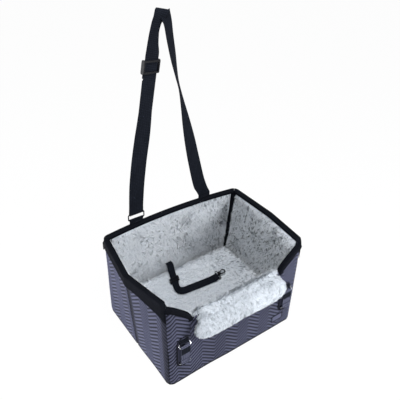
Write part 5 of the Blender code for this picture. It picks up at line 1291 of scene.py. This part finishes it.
def makeTether():
    thick = web["thickness"]
    places, widths, tangents, normals = tetherStations(10)
    coarse, coarseWidths, coarseTangents, coarseNormals = tetherStations(2)
    outer = tether["bar"] + web["clearance"] + thick
    barAt = coarse[-1] + coarseTangents[-1] * outer
    loopAt = frameAt(barAt, -coarseTangents[-1], coarseNormals[-1])
    strip = webShell(places, widths, normals, 0.0, tether["half"])
    loop = pathShell(loopAt, loopPath(tether["bar"], outer + tether["tail"], 0.0), tether["half"] - 0.0003)
    webPiece("tetherWebbing", [strip, loop], "web", "tether", ["tether_webbing"])
    face = thick + web["proud"]
    stitching("tetherStitches", boxSeams(loopAt, outer + 0.003, outer + tether["tail"] - 0.001, tether["seamHalf"],
                                         face, -face), "tether")
    anchorAt = frameAt([places[0][0], tether["y"] + thick, tether["height"]], [0, 1, 0], [0, 0, 1])
    reach = tether["anchorEnd"] - tether["y"] - thick
    layers = [pathShell(anchorAt, [(x, side * thick / 2) for x in np.linspace(0, reach, 6)], tether["half"])
              for side in (-1, 1)]
    webPiece("tetherAnchor", layers, "web", "seat", ["tether_anchor"])
    at = int(np.argmin(np.linalg.norm(coarse - coarse[tether["station"]], axis=1)))
    glide = glideFrame(coarse[at], coarseWidths[at], -coarseTangents[at], upwards, -thick / 2)
    makeFold("tetherFold", glide, tether["core"], tether["tail"], tether["half"], "tether_slider", ["tether_fold"])
    print("tether: webbing, anchor and fold")


# belt keepers, label, pipings, zips

keeper = {"x": 0.166, "bottom": 0.057, "height": 0.099, "width": 0.038, "patch": 0.0014, "half": 0.0125,
          "span": 0.066, "bar": 0.0015, "ring": 0.009, "standoff": 0.011, "tab": 0.010, "fold": 0.42, "bite": 0.3,
          "weltRise": 0.0009, "seamHalf": 0.0105, "sleeve": 0.0009, "sleeveWider": 0.0004}
labelPlan = {"x": 0.149, "z": 0.036, "width": 0.041, "height": 0.024, "thickness": 0.0008, "bend": 0.0022}


def frontFrame(x, z):
    # on the front wall's face: x across, y up the wall, z outwards
    return frameAt([x, frontY(z), z], [1, 0, 0], [0, frontY(boxPlan["height"]) - frontY(0.0), boxPlan["height"]])


def wovenPlate(name, at, outline, insets, node):
    # rings of one outline, drawn in by a distance and lifted, from the hem over the border to the middle
    half = outline.max(axis=0)
    rings = [np.column_stack([outline * (1 - inset / half), np.full(len(outline), lift)]) for inset, lift, _ in insets]
    tone = np.repeat([shade for *_, shade in insets], len(outline))
    shellPiece(name, shell(inFrame(at, np.array(rings))), "cover", [node], {"ridge": tone})


def stadiumOutline(width, height, steps=20):
    # half a circle of half the width at each end, and straight sides between
    radius, rise = width / 2, height / 2 - width / 2
    turn = np.linspace(0, math.pi, steps)
    top = np.stack([radius * np.cos(turn), rise + radius * np.sin(turn)], axis=1)
    sides = np.linspace(rise, -rise, 12)[1:-1]
    left = np.stack([np.full(10, -radius), sides], axis=1)
    return np.concatenate([top, left, -top, -left])


def makeKeepers():
    # each ring leans from its bar on the tab to its bar on the webbing, which stands further off the wall
    thick, bar = web["thickness"], keeper["bar"]
    outer = bar + web["clearance"] + thick
    middle = bar + web["clearance"] + thick / 2
    lift = web["gap"] + keeper["patch"] + outer - keeper["patch"] * keeper["bite"]
    lean = keeper["standoff"] - lift
    reach = math.sqrt(keeper["ring"] ** 2 - lean**2)
    tabAt = keeper["span"] / 2
    base, top = web["gap"], web["gap"] + keeper["patch"]
    profile = ((0.0012, base, 0.0), (0.0, base + 0.0004, 0.0), (0.0, top, 0.0), (0.0007, top + 0.0007, 0.05),
               (0.0015, top + keeper["weltRise"], 0.10), (0.0023, top + 0.0006, 0.05), (0.0029, top - 0.0001, 0.0),
               (0.0042, top + 0.0001, 0.55), (0.0100, top + 0.0002, 0.70), (0.0185, top + 0.0002, 0.70))
    for label, side in bothSides:
        at = frontFrame(side * keeper["x"], keeper["bottom"] + keeper["height"] / 2)
        wovenPlate(f"{label}KeeperPatch", at, stadiumOutline(keeper["width"], keeper["height"]), profile,
                   f"keeper_patch_{label}")
        up, out = at[0][1:]
        tabs, seams = [], []
        for sign in (1, -1):
            barAt = at[1] + up * sign * tabAt + out * lift
            loopAt = frameAt(barAt, up * sign, out)
            tabs.append(pathShell(loopAt, loopPath(bar, keeper["tab"], thick - outer), keeper["half"]))
            outside = math.copysign(thick + web["proud"], loopAt[0][1] @ out) + thick - outer
            seams += boxSeams(loopAt, 0.0045, keeper["tab"] - 0.001, keeper["seamHalf"], outside)
        webPiece(f"{label}KeeperTabs", tabs, "web", "seat")
        stitching(f"{label}KeeperTabStitches", seams, "seat")
        webAt = frameAt(at[1] + out * keeper["standoff"], up, out)
        barHigh = tabAt - reach
        bite = math.asin(thick / 2 / middle)
        turn = np.linspace(math.pi - bite, bite - math.pi, 24)
        upper = np.stack([barHigh + middle * np.cos(turn), middle * np.sin(turn)], axis=1)
        foldEnd = blendOf(barHigh, -barHigh, keeper["fold"])
        tailEnd = keeper["tab"] - barHigh
        lower = -upper
        fold = [(x, thick / 2) for x in np.linspace(foldEnd, upper[0, 0], 8)[:-1]]
        main = [(x, -thick / 2) for x in np.linspace(upper[-1, 0], lower[0, 0], 12)[1:-1]]
        tail = [(x, thick / 2) for x in np.linspace(lower[-1, 0], tailEnd, 4)[1:]]
        route = [*fold, *upper, *main, *lower, *tail]
        # the main layer is the black webbing painted grey as a reflection; the sleeve over the fold keeps the webbing's
        # own black
        webPiece(f"{label}KeeperWebbing", [pathShell(webAt, route, keeper["half"])], "paintedSheenWeb", "seat",
                 [f"keeper_webbing_{label}"])
        sleeve = [(x, thick * 1.5 + web["proud"]) for x in np.linspace(foldEnd, barHigh - 0.001, 8)]
        webPiece(f"{label}KeeperSleeve", [pathShell(webAt, sleeve, keeper["half"] + keeper["sleeveWider"],
                                                    keeper["sleeve"])], "web", "seat")
        seams = boxSeams(webAt, foldEnd + 0.0015, upper[0, 0] - 0.0005, keeper["seamHalf"], thick + web["proud"])
        stitching(f"{label}KeeperStitches", seams, "seat")
    print("keepers: two patches with tabs and webbing")


def makeLabel():
    at = frontFrame(labelPlan["x"], labelPlan["z"])
    bend = labelPlan["bend"]
    turn = np.linspace(0, math.pi / 2, 6)
    corner = np.stack([np.cos(turn), np.sin(turn)], axis=1) * bend
    quarters = (corner, corner[:, ::-1] * [-1, 1], -corner, corner[:, ::-1] * [1, -1])
    centre = np.array([labelPlan["width"] / 2 - bend, labelPlan["height"] / 2 - bend])
    outline = np.concatenate([part + centre * ways for part, ways in
                              zip(quarters, ((1, 1), (-1, 1), (-1, -1), (1, -1)))])
    low, high = web["gap"], web["gap"] + labelPlan["thickness"]
    profile = ((0.0, low, 0.0), (0.0, high, 0.0), (0.0005, high + 0.0003, 0.05), (0.0025, high + 0.0004, 0.05),
               (0.0036, high, 0.0), (0.0042, high, 0.95), (0.0070, high + 0.0002, 1.0), (0.0118, high + 0.0002, 1.0))
    wovenPlate("blankLabel", at, outline, profile, "label")
    print("label: blank")


def cornerPoints(arcOf, share, depth, heights):
    # places down a corner at one share of its arc
    low, lowNormal = onArc(arcOf, 0.0, share)
    high, highNormal = onArc(arcOf, 1.0, share)
    part = (heights / boxPlan["height"])[:, None]
    normals = blendOf(lowNormal, highNormal, part)
    return np.column_stack([blendOf(low, high, part) - normals * depth, heights]), np.column_stack([normals, 0 * part])


piping = {"radius": 0.0012, "depth": 0.0012, "top": 0.2086, "twist": 0.00010, "lay": 0.0016}
zipPlan = {"half": 0.10, "depth": 0.0002, "thickness": 0.0016, "end": 0.006, "tooth": 0.0020, "toothWide": 0.0034,
           "toothDeep": 0.00048, "toothHigh": 0.00084, "toothSlim": 0.78, "stagger": 0.0006}
gusset = {"half": 0.47, "depth": 0.0080, "thickness": 0.0014, "low": 0.0067, "wave": 0.0004}


def makePipings():
    heights = np.linspace(boxPlan["lift"], piping["top"], 120)
    path, normals = cornerPoints(frontArc, boxPlan["seamShare"], piping["depth"], heights)
    along = unit(np.gradient(path, axis=0))
    beside = np.cross(along, normals)
    turn = np.linspace(0, 2 * math.pi, 13)[:-1]
    twist = piping["twist"] * np.sin(heights[:, None] / piping["lay"] + turn[None])
    radius = (piping["radius"] + twist)[..., None]
    grid = path[:, None] + (normals[:, None] * np.cos(turn)[None, :, None]
                            + beside[:, None] * np.sin(turn)[None, :, None]) * radius
    for label, sign in bothSides:
        shellPiece(f"{label}CornerPiping", shell(grid * mirror[sign]), "tape",
                   [f"corner_piping_{label}"])
    print("pipings: two twisted cords")


def cornerTape(name, half, depth, thickness, low, node, side, wave=0.0):
    # a strip of tape down a back corner, closed all round
    heights = np.linspace(low, boxPlan["height"] - zipPlan["end"], 90)
    outer, inner = (np.stack([cornerPoints(backArc, share, deep, heights)[0]
                              for share in np.linspace(0.5 - half, 0.5 + half, 9)], axis=1)
                    for deep in (depth, depth + thickness))
    inner = inner + wave * cloudNoise(inner, 0.02, 9)[..., None] * unit(outer - inner)
    grid = np.concatenate([outer, inner[:, ::-1]], axis=1) * mirror[side]
    uv = np.stack(np.meshgrid(np.linspace(0, 0.02, 18), heights), axis=-1)
    shellPiece(name, shell(grid, uv), "tape", [node])


def makeZips():
    for label, sign in bothSides:
        cornerTape(f"{label}ZipTape", zipPlan["half"], zipPlan["depth"], zipPlan["thickness"], boxPlan["lift"],
                   f"zip_chain_{label}", sign)
        cornerTape(f"{label}ZipGusset", gusset["half"], gusset["depth"], gusset["thickness"], gusset["low"],
                   f"corner_gusset_{label}", sign, gusset["wave"])
        heights = np.arange(boxPlan["lift"] + 0.002, boxPlan["height"] - zipPlan["end"] - 0.001, zipPlan["tooth"] / 2)
        place, normals = cornerPoints(backArc, 0.5, zipPlan["depth"], heights)
        across = unit(np.cross(normals, upwards))
        shift = np.where(np.arange(len(heights)) % 2, 1, -1)[:, None] * zipPlan["stagger"]
        corners = []
        for deep, slim in ((1, zipPlan["toothSlim"]), (-1, 1.0)):
            for x, z in ((-1, -1), (1, -1), (1, 1), (-1, 1)):
                corners.append(place + across * (shift + x * slim * zipPlan["toothWide"] / 2)
                               + normals * deep * zipPlan["toothDeep"] / 2
                               + upwards * z * slim * zipPlan["toothHigh"] / 2)
        points = np.stack(corners, axis=1) * mirror[sign]
        box = np.array([(0, 1, 2, 3), (7, 6, 5, 4), (0, 4, 5, 1), (1, 5, 6, 2), (2, 6, 7, 3), (3, 7, 4, 0)])
        # the corners run so that a row's faces point out on one side and are turned on the other
        one = points[0] - points[0].mean(axis=0)
        volume = sum(one[f[0]] @ np.cross(one[f[1]], one[f[2]]) for f in box)
        faces = (np.arange(len(heights))[:, None, None] * 8 + box[None, :, ::1 if volume > 0 else -1]).reshape(-1, 4)
        mesh = newMesh(f"{label}ZipTeeth", points.reshape(-1, 3), faces, sharpDeg=30)
        newPiece(f"{label}ZipTeeth", mesh, "teeth", "seat")
    print("zips: tapes, gussets and teeth")


base = {"inset": 0.0029, "relief": 0.0009, "top": 0.0024, "rows": 100, "topRows": 12, "hem": 0.05}


def planRing(depth, steps=30):
    # the whole plan of the box at the floor, drawn in by a depth
    shares = np.linspace(0, 1, 7)
    line, rear = (points - normals * depth for points, normals in
                  (sideLine(0.0, shares, shares, steps), backLine(0.0, shares, steps)))
    rear = rear[len(shares):-len(shares)]
    left = line[::-1] * flipped
    front = np.stack([np.linspace(left[-1, 0], line[0, 0], steps)[1:-1], np.full(steps - 2, line[0, 1])], axis=1)
    return np.concatenate([line, rear, left, front])


def makeBaseCover():
    # the ring of the plan is drawn to its middle on the underside, and again on the upper side
    ring = planRing(base["inset"])
    shares = np.linspace(0.0, 1.0, base["rows"])[1:]
    under = ring[None] * shares[:, None, None]
    rib = chevrons(under[..., 0], under[..., 1], quilt["frontPeriod"], 0.0, quilt["rise"], quilt["pitch"])
    rib = rib * np.clip((1 - shares) / base["hem"], 0, 1)[:, None]
    bottom = np.concatenate([under, base["relief"] * (1 - rib)[..., None]], axis=-1)
    above = ring[None] * np.linspace(1, 0.01, base["topRows"])[:, None, None]
    top = np.concatenate([above, np.full((*above.shape[:2], 1), base["top"])], axis=-1)
    points, faces, _ = shell(np.concatenate([bottom, top]))
    # the ribs' height is also their tone: painted shade in the grooves, a painted sheen on the ridges
    tone = np.concatenate([rib.ravel(), np.ones(above.shape[0] * above.shape[1])])
    newPiece("baseQuilt", newMesh("baseQuilt", points, faces, {"ridge": tone}), "cover", "seat",
             ["base_cover"])
    print("base cover: quilted underneath")


flapPlan = {"out": 0.006, "rise": 0.006, "tilt": 10.0, "voxel": 0.0011, "relief": 0.00045}


def makeFlapBacking():
    # the stiff backing, remeshed finely and pressed with the same ribs along its own plane
    piece = mergedCopy("backingBlank", ["flap_backing"])
    points, triangles, normals = meshArrays(remeshed(piece, flapPlan["voxel"]))
    bpy.data.objects.remove(piece)
    tilt = math.radians(flapPlan["tilt"])
    hinge = np.array([0.0, frontY(scoopPlan["floor"]) - flapPlan["out"], scoopPlan["floor"] + flapPlan["rise"]])
    run = (points - hinge) @ np.array([0.0, -math.sin(tilt), -math.cos(tilt)])
    rib = chevrons(points[:, 0], run, quilt["frontPeriod"], 0.0, quilt["rise"], quilt["pitch"])
    points = points - normals * (flapPlan["relief"] * (1 - rib))[:, None]
    # the ribs' height is also their tone: painted shade in the grooves, a painted sheen on the ridges
    newPiece("flapBacking", newMesh("flapBacking", points, triangles, {"ridge": rib}), "cover", "flap",
             ["flap_backing"])
    print("flap backing: quilted")


# the CAD's own solids keep a plain finish each, shown where no piece replaces them
slotFinishes = {"quilted_fabric": "cover", "faux_fur": "fur", "woven_binding": "tape", "webbing": "tape",
                "stiffener_board": "board", "foam": "foam", "dark_metal": "metal", "woven_label": "cover"}

# the whole seat, in making order
for make in (makeCamera, makeStage, makeCovers, makeLinings, makeCushion, makeFlapRoll, makeBindings, makeStrap,
             makeTether, makeKeepers, makeLabel, makePipings, makeZips, makeBaseCover, makeFlapBacking):
    make()
for subpart in frame["record"]["subparts"]:
    solid = frame["nodes"][subpart["node"]].data
    isRing = subpart["node"].startswith("keeper_ring")
    solid.materials.clear()
    solid.materials.append(finishes["glossyMetal" if isRing else slotFinishes[subpart["material_slot"]]])
